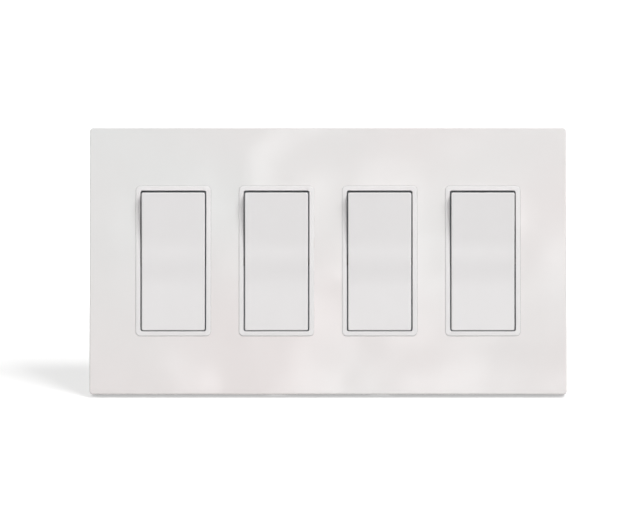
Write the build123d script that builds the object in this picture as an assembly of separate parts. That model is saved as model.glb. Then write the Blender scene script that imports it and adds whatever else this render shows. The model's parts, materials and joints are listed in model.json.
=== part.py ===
from build123d import *
import os
from math import cos, radians, sin, tan

# Four-gang rocker switch plate, in millimetres.
# X runs right, Z runs up and the front faces -Y. The wall plane is y = 0.
# The origin is the middle of the box-screw pattern, on the wall plane.

# How far a cutting tool reaches past the faces that it cuts
PAST = 1.0

# Distance under which two places are taken as one
TINY = 0.001

# Row of switches
GANG_COUNT = 4
GANG_PITCH = 46.04
BOX_SCREW_SPACING = 83.34

# Clip-on cover
COVER_END_MARGIN = 37.36
COVER_HEIGHT = 119.2
COVER_DEPTH = 8.1
COVER_FRONT_WALL = 2.2
COVER_SIDE_WALL = 2.0
COVER_CORNER_CUT = 0.8
COVER_EDGE_ROUND = 0.6
COVER_BEZEL_GAP = 0.12
COVER_RIB_THICKNESS = 1.2
COVER_RIB_LENGTH = 92.0
HOOK_REACH = 0.9
HOOK_DEPTH = 0.9
HOOK_LENGTH = 9.0
HOOK_GAP = 0.1
PRY_NOTCH_WIDTH = 9.0
PRY_NOTCH_DEPTH = 1.0

# Adapter plate that the cover clips on
ADAPTER_THICKNESS = 1.8
ADAPTER_COVER_GAP = 0.3
ADAPTER_BEZEL_GAP = 0.35
ADAPTER_RIM_INSET = 2.0
ADAPTER_RIM_THICKNESS = 1.2
ADAPTER_CORNER_CUT = 1.0
HEAD_WINDOW_WIDTH = 9.0
HEAD_WINDOW_GAP = 0.35

# Steel strap
STRAP_THICKNESS = 1.2
STRAP_COVER_MARGIN = 6.4
STRAP_CORNER_CUT = 2.5
STRAP_WINDOW_WIDTH = 18.0
STRAP_WINDOW_HEIGHT = 30.0
BOX_SLOT_LENGTH = 7.4
BOX_SLOT_WIDTH = 4.2
BOX_SLOT_CORNER_CUT = 1.2
GROUND_TAB_WIDTH = 8.0
GROUND_TAB_DEPTH = 9.0
GROUND_TAB_BELOW = 1.5

# Bezel
BEZEL_WIDTH = 33.5
BEZEL_HEIGHT = 67.1
BEZEL_RIM = 2.1
BEZEL_CORNER_RADIUS = 2.0
BEZEL_WINDOW_RADIUS = 1.0
BEZEL_WINDOW_RUNS = 2
BEZEL_PROUD = 0.3
BEZEL_EDGE_BREAK = 0.25
LEG_THICKNESS = 1.4
LEG_WIDTH = 5.0
LEG_LENGTH = 6.0
LEG_OFFSET = 20.0
LEG_GAP = 0.1
BARB_REACH = 0.7
BARB_DEPTH = 1.4

# Rocker
ROCKER_TRAVEL = 7.5
ROCKER_RIDGE_SLOPE = 2.5
ROCKER_VALLEY_OFFSET = 8.0
ROCKER_VALLEY_RADIUS = 60.0
ROCKER_SIDE_GAP = 0.55
ROCKER_END_GAP = 0.7
ROCKER_WALL = 1.5
ROCKER_CORNER_CUT = 0.5
ROCKER_EDGE_BREAK = 0.35
ROCKER_RIB_THICKNESS = 1.0
ROCKER_RIB_OFFSET = 16.0
SKIRT_GAP = 0.4
PIVOT_SETBACK = 4.4
PIN_RADIUS = 1.5
PIN_CLEARANCE = 0.05
PIN_GRIP = 1.1
PIN_END_GAP = 0.1
PIN_LUG_WALL = 0.9
STEM_LENGTH = 9.5
STEM_WALL = 1.3
STEM_FLOOR = 0.6

# Plunger and spring
PLUNGER_SIZE = 4.2
PLUNGER_CLEARANCE = 0.08
PLUNGER_GUIDE = 4.5
PLUNGER_NOSE = 2.6
PLUNGER_TIP_WIDTH = 0.8
SPRING_WIRE = 0.5
SPRING_TURNS = 3.5
SPRING_FACETS = 8
SPRING_SIDE_GAP = 0.2
SPRING_END_GAP = 0.08

# Contact arm and contacts, measured from the arm's own axis
ARM_RATIO = 2.0
ARM_SETBACK = 16.0
ARM_WIDTH = 5.0
ARM_HALF_LENGTH = 12.5
ARM_THICKNESS = 0.8
ARM_TAB_THICKNESS = 0.8
ARM_TAB_HALF_LENGTH = 1.8
ARM_TAB_REACH = 1.2
RIDGE_RADIUS = 1.0
RIDGE_CLEARANCE = 0.1
RIDGE_END_GAP = 0.1
CONTACT_OFFSET = 10.3
CONTACT_SIZE = 3.2
CONTACT_HEIGHT = 0.9
CONTACT_GAP = 0.05
TIP_GAP = 0.06

# Terminals and their screws
TERMINAL_THICKNESS = 0.9
TERMINAL_STRIP_WIDTH = 5.0
TERMINAL_STRIP_OVERHANG = 0.5
RIDGE_STANDOFF = 0.5
LOAD_STRIP_DROP = 1.4
TERMINAL_PLATE_WIDTH = 8.0
TERMINAL_SCREW_RISE = 9.2
TERMINAL_PLATE_MARGIN = 4.4
TERMINAL_SCREW_DEPTH = 6.5
SCREW_RADIUS = 1.75

# Housing
HOUSING_HEIGHT = 64.0
HOUSING_DEPTH = 26.0
HOUSING_WALL = 2.0
HOUSING_CORNER_CUT = 1.5
HOUSING_BACK_CHAMFER = 1.0
POCKET_DEPTH = 1.0
POCKET_GAP = 0.5
SLOT_GAP = 0.1
BOSS_WALL = 1.4

# Box screws
BOX_HEAD_RADIUS = 3.1
BOX_HEAD_HEIGHT = 1.9
BOX_HEAD_SIDES = 8
BOX_NECK_RADIUS = 1.45
BOX_NECK_SIDES = 6
BOX_SCREW_REACH = 22.0

# Planes that the pieces share
STRAP_FRONT = -STRAP_THICKNESS
ADAPTER_FRONT = STRAP_FRONT - ADAPTER_THICKNESS
COVER_FRONT = -COVER_DEPTH
COVER_INSIDE = COVER_FRONT + COVER_FRONT_WALL
BEZEL_FRONT = COVER_FRONT - BEZEL_PROUD
PIVOT_Y = BEZEL_FRONT + PIVOT_SETBACK
ARM_Y = PIVOT_Y + ARM_SETBACK

# Sizes that follow from the driving ones
STRAP_LENGTH = COVER_HEIGHT - 2 * STRAP_COVER_MARGIN
GANGS = [(n - (GANG_COUNT - 1) / 2) * GANG_PITCH for n in range(GANG_COUNT)]
COVER_WIDTH = (GANG_COUNT - 1) * GANG_PITCH + 2 * COVER_END_MARGIN
INSIDE_WIDTH = COVER_WIDTH - 2 * COVER_SIDE_WALL
INSIDE_HEIGHT = COVER_HEIGHT - 2 * COVER_SIDE_WALL
ADAPTER_WIDTH = INSIDE_WIDTH - 2 * ADAPTER_COVER_GAP
ADAPTER_HEIGHT = INSIDE_HEIGHT - 2 * ADAPTER_COVER_GAP
WINDOW_WIDTH = BEZEL_WIDTH - 2 * BEZEL_RIM
WINDOW_HEIGHT = BEZEL_HEIGHT - 2 * BEZEL_RIM
ROCKER_WIDTH = WINDOW_WIDTH - 2 * ROCKER_SIDE_GAP
ROCKER_HALF = WINDOW_HEIGHT / 2 - ROCKER_END_GAP
TILT = radians(ROCKER_TRAVEL / 2)
CREASE = PIVOT_SETBACK / cos(TILT)
SKIRT_BACK = (STRAP_FRONT - PIVOT_Y - SKIRT_GAP - ROCKER_HALF * sin(TILT)) / cos(TILT)
BORE_HALF = PLUNGER_SIZE / 2 + PLUNGER_CLEARANCE
STEM_HALF = BORE_HALF + STEM_WALL
BORE_FLOOR = -CREASE + ROCKER_WALL + STEM_FLOOR
ARM_BACK = -(RIDGE_RADIUS + RIDGE_CLEARANCE)
ARM_FRONT = ARM_BACK - ARM_THICKNESS
TIP_REACH = ARM_SETBACK + ARM_FRONT - TIP_GAP
LEG_INSIDE = BEZEL_WIDTH / 2 - LEG_THICKNESS
HOUSING_WIDTH = 2 * (LEG_INSIDE - LEG_GAP)
CAVITY_HALF_WIDTH = HOUSING_WIDTH / 2 - HOUSING_WALL
POCKET_FACE = HOUSING_WIDTH / 2 - POCKET_DEPTH
PLATE_FACE = POCKET_FACE + TERMINAL_THICKNESS
LINE_STRIP_Y = ARM_Y + RIDGE_STANDOFF
LOAD_STRIP_Y = LINE_STRIP_Y + LOAD_STRIP_DROP
STRIP_LEFT = -ARM_WIDTH / 2 - TERMINAL_STRIP_OVERHANG
TERMINAL_SCREW_Y = LINE_STRIP_Y + TERMINAL_THICKNESS / 2


def facing(x, y, z):
    """Plane seen from the front: its own x runs right, its own y runs up and it faces -Y."""
    return Plane(origin=(x, y, z), x_dir=(1, 0, 0), z_dir=(0, -1, 0))


def sideways(x, y=0, z=0):
    """Plane that faces +X: its own x runs back and its own y runs up."""
    return Plane(origin=(x, y, z), x_dir=(0, 1, 0), z_dir=(1, 0, 0))


def block(x, y, z):
    """Box from a pair of limits on each axis."""
    limits = (x, y, z)
    size = [high - low for low, high in limits]
    middle = [(high + low) / 2 for low, high in limits]
    return Pos(*middle) * Box(*size)


def slab(width, height, corner, back, front, x=0, z=0):
    """Rounded rectangle seen from the front, from its back plane to its front plane."""
    return extrude(facing(x, back, z) * RectangleRounded(width, height, corner), back - front)


def rod(radius, back, front, x=0, z=0):
    """Round bar along Y."""
    return extrude(facing(x, back, z) * Circle(radius), back - front)


def cross_rod(radius, left, right, y=0, z=0):
    """Round bar along X."""
    return extrude(sideways(left, y, z) * Circle(radius), right - left)


def prism(points, left, right):
    """Section given as (y, z) points, carried along X."""
    return extrude(sideways(left) * Polygon(*points, align=None), right - left, dir=(1, 0, 0))


def cut_slab(width, height, corner, back, front, x=0, z=0, runs=1):
    """Rectangle seen from the front, its corners cut in straight runs, from its back to its front."""
    inner_x, inner_z = width / 2 - corner, height / 2 - corner
    points = []
    for turn, (side_x, side_z) in enumerate(((1, 1), (-1, 1), (-1, -1), (1, -1))):
        for n in range(runs + 1):
            angle = radians(90 * (turn + n / runs))
            points.append((side_x * inner_x + corner * cos(angle), side_z * inner_z + corner * sin(angle)))
    return extrude(facing(x, back, z) * Polygon(*points, align=None), back - front)


def joined(pieces):
    """Several separate solids as one group."""
    return Compound(children=list(pieces))


def cover_plate():
    """Clip-on cover: a shallow tray with four openings, ribs that bear on the adapter and sprung hooks."""
    tray = cut_slab(COVER_WIDTH, COVER_HEIGHT, COVER_CORNER_CUT, 0, COVER_FRONT)
    tray = fillet(tray.faces().sort_by(Axis.Y)[0].edges(), COVER_EDGE_ROUND)
    inside = block(
        (-INSIDE_WIDTH / 2, INSIDE_WIDTH / 2), (COVER_INSIDE, PAST), (-INSIDE_HEIGHT / 2, INSIDE_HEIGHT / 2)
    )
    tray -= inside
    for x in GANGS:
        tray -= cover_opening(x)
    for x in rib_places():
        half = COVER_RIB_THICKNESS / 2
        reach = min(COVER_RIB_LENGTH, ADAPTER_HEIGHT) / 2
        tray += block((x - half, x + half), (COVER_INSIDE, ADAPTER_FRONT), (-reach, reach))
    for x in GANGS:
        tray += clip_hook(x, 1)
        tray += clip_hook(x, -1)
    for x in (GANGS[1], GANGS[-2]):
        tray -= block(
            (x - PRY_NOTCH_WIDTH / 2, x + PRY_NOTCH_WIDTH / 2),
            (-PRY_NOTCH_DEPTH, PAST),
            (-COVER_HEIGHT / 2 - PAST, -INSIDE_HEIGHT / 2 + HOOK_GAP),
        )
    return tray


def cover_opening(x):
    """Tool for the opening that a bezel stands in."""
    return slab(
        BEZEL_WIDTH + 2 * COVER_BEZEL_GAP,
        BEZEL_HEIGHT + 2 * COVER_BEZEL_GAP,
        BEZEL_CORNER_RADIUS + COVER_BEZEL_GAP,
        COVER_INSIDE + PAST,
        COVER_FRONT - PAST,
        x,
    )


def rib_places():
    """Places of the upright ribs: between neighbouring switches and outside the end ones."""
    first = GANGS[0] - GANG_PITCH / 2
    return [first + n * GANG_PITCH for n in range(GANG_COUNT + 1)]


def clip_hook(x, side):
    """Ramped hook on the top (side 1) or bottom (side -1) wall, behind the adapter's edge."""
    wall = side * (INSIDE_HEIGHT / 2 + HOOK_GAP)
    tip = side * (INSIDE_HEIGHT / 2 - HOOK_REACH)
    front = STRAP_FRONT + HOOK_GAP
    points = [(front, wall), (front, tip), (front + HOOK_DEPTH, side * INSIDE_HEIGHT / 2)]
    points.append((front + HOOK_DEPTH, wall))
    return prism(points, x - HOOK_LENGTH / 2, x + HOOK_LENGTH / 2)


def adapter_plate():
    """Flat plate on the straps, with openings for the bezels and screw heads and a rim to the wall."""
    plate = cut_slab(ADAPTER_WIDTH, ADAPTER_HEIGHT, ADAPTER_CORNER_CUT, STRAP_FRONT, ADAPTER_FRONT)
    outer_width = ADAPTER_WIDTH - 2 * ADAPTER_RIM_INSET
    outer_height = ADAPTER_HEIGHT - 2 * ADAPTER_RIM_INSET
    rim = cut_slab(outer_width, outer_height, ADAPTER_CORNER_CUT, 0, STRAP_FRONT)
    rim -= block(
        (-outer_width / 2 + ADAPTER_RIM_THICKNESS, outer_width / 2 - ADAPTER_RIM_THICKNESS),
        (STRAP_FRONT - PAST, PAST),
        (-outer_height / 2 + ADAPTER_RIM_THICKNESS, outer_height / 2 - ADAPTER_RIM_THICKNESS),
    )
    plate += rim
    half_width = BEZEL_WIDTH / 2 + ADAPTER_BEZEL_GAP
    half_height = BEZEL_HEIGHT / 2 + ADAPTER_BEZEL_GAP
    for x in GANGS:
        through = (ADAPTER_FRONT - PAST, STRAP_FRONT + PAST)
        plate -= block((x - half_width, x + half_width), through, (-half_height, half_height))
        for side in (-1, 1):
            plate -= head_window(x, side)
    return plate


def head_window(x, side):
    """Window in the adapter over the head of a box screw."""
    half_width = HEAD_WINDOW_WIDTH / 2
    half_height = BOX_HEAD_RADIUS + HEAD_WINDOW_GAP
    z = side * BOX_SCREW_SPACING / 2
    return block(
        (x - half_width, x + half_width),
        (ADAPTER_FRONT - PAST, STRAP_FRONT + PAST),
        (z - half_height, z + half_height),
    )


def box_screw(x, side):
    """Long screw for the wall box: pan head, narrow neck in the strap's slot, then the full shank."""
    z = side * BOX_SCREW_SPACING / 2
    head = extrude(
        facing(x, STRAP_FRONT, z) * RegularPolygon(BOX_HEAD_RADIUS, BOX_HEAD_SIDES), BOX_HEAD_HEIGHT
    )
    neck = extrude(facing(x, 0, z) * RegularPolygon(BOX_NECK_RADIUS, BOX_NECK_SIDES), STRAP_THICKNESS)
    return head + neck + rod(SCREW_RADIUS, BOX_SCREW_REACH, 0, x, z)


def bezel(x):
    """Front frame of a switch, with slots for the pivot pins and four barbed legs."""
    frame = slab(BEZEL_WIDTH, BEZEL_HEIGHT, BEZEL_CORNER_RADIUS, STRAP_FRONT, BEZEL_FRONT)
    frame = chamfer(frame.faces().sort_by(Axis.Y)[0].edges(), BEZEL_EDGE_BREAK)
    frame -= cut_slab(
        WINDOW_WIDTH,
        WINDOW_HEIGHT,
        BEZEL_WINDOW_RADIUS,
        STRAP_FRONT + PAST,
        BEZEL_FRONT - PAST,
        runs=BEZEL_WINDOW_RUNS,
    )
    reach = WINDOW_WIDTH / 2 + PIN_GRIP + PIN_END_GAP
    room = PIN_RADIUS + PIN_CLEARANCE
    frame -= block((-reach, reach), (PIVOT_Y - room, STRAP_FRONT + PAST), (-room, room))
    for side in (-1, 1):
        for z in (-LEG_OFFSET, LEG_OFFSET):
            frame += bezel_leg(side, z)
    return Pos(x, 0, 0) * frame


def bezel_leg(side, z):
    """Leg through the strap's notch, with a barb that catches in the housing."""
    outside = side * BEZEL_WIDTH / 2
    inside = side * LEG_INSIDE
    points = [
        (outside, STRAP_FRONT),
        (inside, STRAP_FRONT),
        (inside, LEG_LENGTH - BARB_DEPTH),
        (inside - side * BARB_REACH, LEG_LENGTH - BARB_DEPTH),
        (inside, LEG_LENGTH),
        (outside, LEG_LENGTH),
    ]
    section = Plane.XY.offset(z - LEG_WIDTH / 2) * Polygon(*points, align=None)
    return extrude(section, LEG_WIDTH, dir=(0, 0, 1))


def strap(x):
    """Steel yoke: long strip with a window, box-screw slots, leg notches and a ground tab."""
    strip = cut_slab(BEZEL_WIDTH, STRAP_LENGTH, STRAP_CORNER_CUT, 0, STRAP_FRONT)
    through = (PAST, STRAP_FRONT - PAST)
    strip -= cut_slab(STRAP_WINDOW_WIDTH, STRAP_WINDOW_HEIGHT, STRAP_CORNER_CUT, *through)
    for side in (-1, 1):
        middle = side * BOX_SCREW_SPACING / 2
        strip -= cut_slab(BOX_SLOT_LENGTH, BOX_SLOT_WIDTH, BOX_SLOT_CORNER_CUT, *through, 0, middle)
        for z in (-LEG_OFFSET, LEG_OFFSET):
            strip -= leg_notch(side, z)
    strip += ground_tab()
    return Pos(x, 0, 0) * strip


def leg_notch(side, z):
    """Notch in the strap's edge for a bezel leg."""
    inside = LEG_INSIDE - LEG_GAP
    outside = BEZEL_WIDTH / 2 + PAST
    half = LEG_WIDTH / 2 + LEG_GAP
    edges = sorted((side * inside, side * outside))
    return block(edges, (STRAP_FRONT - PAST, PAST), (z - half, z + half))


def ground_tab():
    """Tab bent back from the strap's left edge below the housing, for the ground screw."""
    left = -BEZEL_WIDTH / 2
    top = -HOUSING_HEIGHT / 2 - GROUND_TAB_BELOW
    upright = (top - GROUND_TAB_WIDTH, top)
    return block((left, left + STRAP_THICKNESS), (STRAP_FRONT, GROUND_TAB_DEPTH), upright)


def at_rest(piece, x):
    """Puts a piece built about the pivot, in mid travel, at its off position in switch x."""
    return Pos(x, PIVOT_Y, 0) * Rot(ROCKER_TRAVEL / 2, 0, 0) * piece


def paddle_section(front, half, back):
    """Corners of the paddle's section: a low ridge, a valley on each side of it and a run to each end."""
    slope = tan(TILT)
    valley = front - ROCKER_VALLEY_OFFSET * slope
    ridge = valley - ROCKER_VALLEY_OFFSET * tan(radians(ROCKER_RIDGE_SLOPE))
    upper = [(valley, ROCKER_VALLEY_OFFSET), (front - half * slope, half), (back, half)]
    lower = [(y, -z) for y, z in reversed(upper)]
    return [(ridge, 0), *upper, *lower]


def rocker(x):
    """Paddle: shell with a central ridge, ribs, pivot pins on lugs and the bored stem that drives it."""
    width = ROCKER_WIDTH / 2
    shell = prism(paddle_section(-CREASE, ROCKER_HALF, SKIRT_BACK), -width, width)
    shell = fillet(valley_lines(shell), ROCKER_VALLEY_RADIUS)
    shell = chamfer(shell.edges().filter_by(Axis.Y), ROCKER_CORNER_CUT)
    shell = chamfer(paddle_rim(shell), ROCKER_EDGE_BREAK)
    hollow = paddle_section(-CREASE + ROCKER_WALL, ROCKER_HALF - ROCKER_WALL, SKIRT_BACK + PAST)
    shell -= prism(hollow, ROCKER_WALL - width, width - ROCKER_WALL)
    shell += rocker_ribs(width)
    for side in (-1, 1):
        shell += pivot_pin(side, width)
    stem = (-STEM_HALF, STEM_HALF)
    bore = (-BORE_HALF, BORE_HALF)
    shell += block(stem, (-CREASE, STEM_LENGTH), stem)
    shell -= block(bore, (BORE_FLOOR, STEM_LENGTH + PAST), bore)
    return at_rest(shell, x)


def valley_lines(shell):
    """Edges where the ridge's flanks meet the runs to the ends."""
    across = shell.edges().filter_by(Axis.X)
    return across.filter_by(lambda edge: abs(abs(edge.center().Z) - ROCKER_VALLEY_OFFSET) < TINY)


def paddle_rim(shell):
    """Edges round the paddle's front, without those that run across it."""
    fronts = shell.faces().filter_by(lambda face: face.normal_at().Y < -0.9)
    edges = [edge for face in fronts for edge in face.edges()]
    return [edge for edge in edges if abs(edge.center().X) > TINY or abs(edge.center().Z) > ROCKER_HALF / 2]


def rocker_ribs(width):
    """Two cross ribs and the long rib that ties them to the stem."""
    long = (-CREASE, SKIRT_BACK - ROCKER_WALL / 2)
    half = ROCKER_RIB_THICKNESS / 2
    ribs = block((-half, half), long, (-ROCKER_RIB_OFFSET, ROCKER_RIB_OFFSET))
    inner = width - ROCKER_WALL / 2
    for z in (-ROCKER_RIB_OFFSET, ROCKER_RIB_OFFSET):
        ribs += block((-inner, inner), long, (z - half, z + half))
    return ribs


def pivot_pin(side, width):
    """Round pin and the lug that carries it on the skirt."""
    inner, outer = side * (width - ROCKER_WALL), side * width
    end = side * (width + ROCKER_SIDE_GAP + PIN_GRIP)
    room = PIN_RADIUS + PIN_LUG_WALL
    lug = block(sorted((inner, outer)), (SKIRT_BACK - ROCKER_WALL, room), (-room, room))
    return lug + cross_rod(PIN_RADIUS, *sorted((outer, end)))


def plunger(x):
    """Square plunger in the stem's bore, with a wedge nose that rides on the arm."""
    half = PLUNGER_SIZE / 2
    shoulder = TIP_REACH - PLUNGER_NOSE
    tip = PLUNGER_TIP_WIDTH / 2
    side = [(guide_start(), half), (shoulder, half), (TIP_REACH, tip)]
    mirrored = [(y, -z) for y, z in reversed(side)]
    return at_rest(prism(side + mirrored, -half, half), x)


def guide_start():
    """Inner end of the plunger, which the spring presses on."""
    return STEM_LENGTH - PLUNGER_GUIDE


def spring(x):
    """Coil spring between the bore's floor and the plunger, of square wire in short straight runs."""
    radius = BORE_HALF - SPRING_SIDE_GAP - SPRING_WIRE / 2
    start = BORE_FLOOR + SPRING_WIRE / 2 + SPRING_END_GAP
    length = guide_start() - SPRING_WIRE / 2 - SPRING_END_GAP - start
    steps = round(SPRING_TURNS * SPRING_FACETS)
    points = []
    for n in range(steps + 1):
        angle = radians(360 * n / SPRING_FACETS)
        points.append((radius * cos(angle), start + length * n / steps, radius * sin(angle)))
    path = Polyline(*points)
    section = Plane(origin=points[0], z_dir=path % 0) * Rectangle(SPRING_WIRE, SPRING_WIRE)
    return at_rest(sweep(section, path, transition=Transition.RIGHT), x)


def arm_place(piece, x, turn):
    """Puts a piece built about the arm's axis in switch x, turned about X."""
    return Pos(x, ARM_Y, 0) * Rot(turn, 0, 0) * piece


def contact_arm(x):
    """See-saw arm with side tabs that keep it on the ridge."""
    half = ARM_WIDTH / 2
    arm = block((-half, half), (ARM_FRONT, ARM_BACK), (-ARM_HALF_LENGTH, ARM_HALF_LENGTH))
    tab_upright = (-ARM_TAB_HALF_LENGTH, ARM_TAB_HALF_LENGTH)
    for side in (-1, 1):
        edges = sorted((side * half, side * (half + ARM_TAB_THICKNESS)))
        arm += block(edges, (ARM_FRONT, ARM_BACK + ARM_TAB_REACH), tab_upright)
    return arm_place(arm, x, -ARM_RATIO * ROCKER_TRAVEL / 2)


def arm_contact(x):
    """Silver pad on the back of the arm's lower end."""
    half = CONTACT_SIZE / 2
    upright = (-CONTACT_OFFSET - half, -CONTACT_OFFSET + half)
    pad = block((-half, half), (ARM_BACK, ARM_BACK + CONTACT_HEIGHT), upright)
    return arm_place(pad, x, -ARM_RATIO * ROCKER_TRAVEL / 2)


def fixed_contact(x):
    """Silver pad on the load terminal, its face cut to lie flat against the arm's pad when on."""
    half = CONTACT_SIZE / 2
    face = ARM_BACK + CONTACT_HEIGHT + CONTACT_GAP
    long = (face, face + LOAD_STRIP_Y - ARM_Y)
    pad = block((-half, half), long, (-CONTACT_OFFSET - half, -CONTACT_OFFSET + half))
    pad = arm_place(pad, x, ARM_RATIO * ROCKER_TRAVEL / 2)
    upright = (-CONTACT_OFFSET - CONTACT_SIZE, -CONTACT_OFFSET + CONTACT_SIZE)
    behind = block((x - CONTACT_SIZE, x + CONTACT_SIZE), (LOAD_STRIP_Y, 2 * LOAD_STRIP_Y), upright)
    return pad - behind


def terminal_places():
    """Line and load terminals: the strip's front plane, its height and the way its screw lies."""
    return {"line": (LINE_STRIP_Y, 0.0, 1), "load": (LOAD_STRIP_Y, -CONTACT_OFFSET, -1)}


def terminal(kind):
    """Brass strip across the housing, bent over to a plate on the housing's side."""
    front, z, way = terminal_places()[kind]
    half = TERMINAL_STRIP_WIDTH / 2
    strip = block((STRIP_LEFT, PLATE_FACE), (front, front + TERMINAL_THICKNESS), (z - half, z + half))
    wide = TERMINAL_PLATE_WIDTH / 2
    sides = (TERMINAL_SCREW_Y - wide, TERMINAL_SCREW_Y + wide)
    far = z + way * (TERMINAL_SCREW_RISE + TERMINAL_PLATE_MARGIN)
    return strip + block((POCKET_FACE, PLATE_FACE), sides, sorted((z - way * half, far)))


def screw_height(kind):
    """Height of a terminal's screw."""
    _, z, way = terminal_places()[kind]
    return z + way * TERMINAL_SCREW_RISE


def line_terminal(x):
    """Terminal with the rounded ridge that the arm rocks on."""
    half = ARM_WIDTH / 2 - RIDGE_END_GAP
    ridge = cross_rod(RIDGE_RADIUS, -half, half, ARM_Y)
    ridge += block((-half, half), (ARM_Y, LINE_STRIP_Y), (-RIDGE_RADIUS, RIDGE_RADIUS))
    over = 2 * RIDGE_RADIUS
    ridge -= block((-ARM_WIDTH, ARM_WIDTH), (LINE_STRIP_Y, LINE_STRIP_Y + over), (-over, over))
    return Pos(x, 0, 0) * (terminal("line") + ridge)


def load_terminal(x):
    """Terminal that carries the fixed contact."""
    return Pos(x, 0, 0) * terminal("load")


def housing(x):
    """Back body: an open box with barb pockets, side pockets, shelves and screw bosses."""
    body = cut_slab(HOUSING_WIDTH, HOUSING_HEIGHT, HOUSING_CORNER_CUT, HOUSING_DEPTH, 0)
    body = chamfer(body.faces().sort_by(Axis.Y)[-1].edges(), HOUSING_BACK_CHAMFER)
    cavity_half_height = HOUSING_HEIGHT / 2 - HOUSING_WALL
    body -= block(
        (-CAVITY_HALF_WIDTH, CAVITY_HALF_WIDTH),
        (-PAST, HOUSING_DEPTH - HOUSING_WALL),
        (-cavity_half_height, cavity_half_height),
    )
    for side in (-1, 1):
        for z in (-LEG_OFFSET, LEG_OFFSET):
            body -= barb_pocket(side, z)
    for kind in terminal_places():
        body += terminal_shelf(kind)
        body += screw_boss(kind)
        body -= terminal_room(kind)
    return Pos(x, 0, 0) * body


def barb_pocket(side, z):
    """Pocket in the housing's side that a barb catches in."""
    depth = sorted((side * (HOUSING_WIDTH / 2 - BARB_REACH), side * (HOUSING_WIDTH / 2 + PAST)))
    half = LEG_WIDTH / 2 + LEG_GAP
    return block(depth, (LEG_LENGTH - BARB_DEPTH - LEG_GAP, LEG_LENGTH + LEG_GAP), (z - half, z + half))


def terminal_shelf(kind):
    """Shelf from the housing's floor that a terminal's strip lies on."""
    front, z, _ = terminal_places()[kind]
    half = TERMINAL_STRIP_WIDTH / 2
    long = (front + TERMINAL_THICKNESS, HOUSING_DEPTH - HOUSING_WALL / 2)
    return block((STRIP_LEFT, CAVITY_HALF_WIDTH), long, (z - half, z + half))


def screw_boss(kind):
    """Boss inside the side wall that a terminal's screw bites into."""
    z = screw_height(kind)
    wide = SCREW_RADIUS + BOSS_WALL
    inner = PLATE_FACE - TERMINAL_SCREW_DEPTH - BOSS_WALL
    return block(
        (inner, POCKET_FACE),
        (TERMINAL_SCREW_Y - wide, TERMINAL_SCREW_Y + wide),
        (z - wide, z + wide),
    )


def terminal_room(kind):
    """What a terminal and its screw take out of the housing's side."""
    front, z, way = terminal_places()[kind]
    half = TERMINAL_STRIP_WIDTH / 2 + SLOT_GAP
    slot = block(
        (CAVITY_HALF_WIDTH - PAST, POCKET_FACE + PAST),
        (front - SLOT_GAP, front + TERMINAL_THICKNESS + SLOT_GAP),
        (z - half, z + half),
    )
    wide = TERMINAL_PLATE_WIDTH / 2 + POCKET_GAP
    near = z - way * (half + POCKET_GAP)
    far = z + way * (TERMINAL_SCREW_RISE + TERMINAL_PLATE_MARGIN + POCKET_GAP)
    pocket = block(
        (POCKET_FACE, HOUSING_WIDTH / 2 + PAST),
        (TERMINAL_SCREW_Y - wide, TERMINAL_SCREW_Y + wide),
        sorted((near, far)),
    )
    return slot + pocket


def write(name, shape):
    """One STEP file per node."""
    shape.label = name
    export_step(shape, f"parts/{name}.step")


def main():
    os.makedirs("parts", exist_ok=True)
    write("cover_plate", cover_plate())
    write("adapter_plate", adapter_plate())
    write("box_screws", joined(box_screw(x, side) for x in GANGS for side in (-1, 1)))
    repeated = (
        rocker,
        bezel,
        strap,
        housing,
        spring,
        plunger,
        contact_arm,
        arm_contact,
        fixed_contact,
        line_terminal,
        load_terminal,
    )
    for number, x in enumerate(GANGS, start=1):
        for make in repeated:
            write(f"{make.__name__}_{number}", make(x))


main()
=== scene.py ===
"""Looks for a wall plate with a row of rocker switches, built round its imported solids.

Sizes in the classes are millimetres, as on a drawing, and meshes are made in metres.
X runs right along the row, Y runs back into the wall and Z runs up. The wall plane is y = 0.
"""

import json
import logging
from dataclasses import dataclass
from enum import Enum
from math import cos, pi, radians, sin, tan
from typing import Any, Callable, Iterable, Sequence

import bmesh
import bpy
from mathutils import Matrix, Vector

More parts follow.
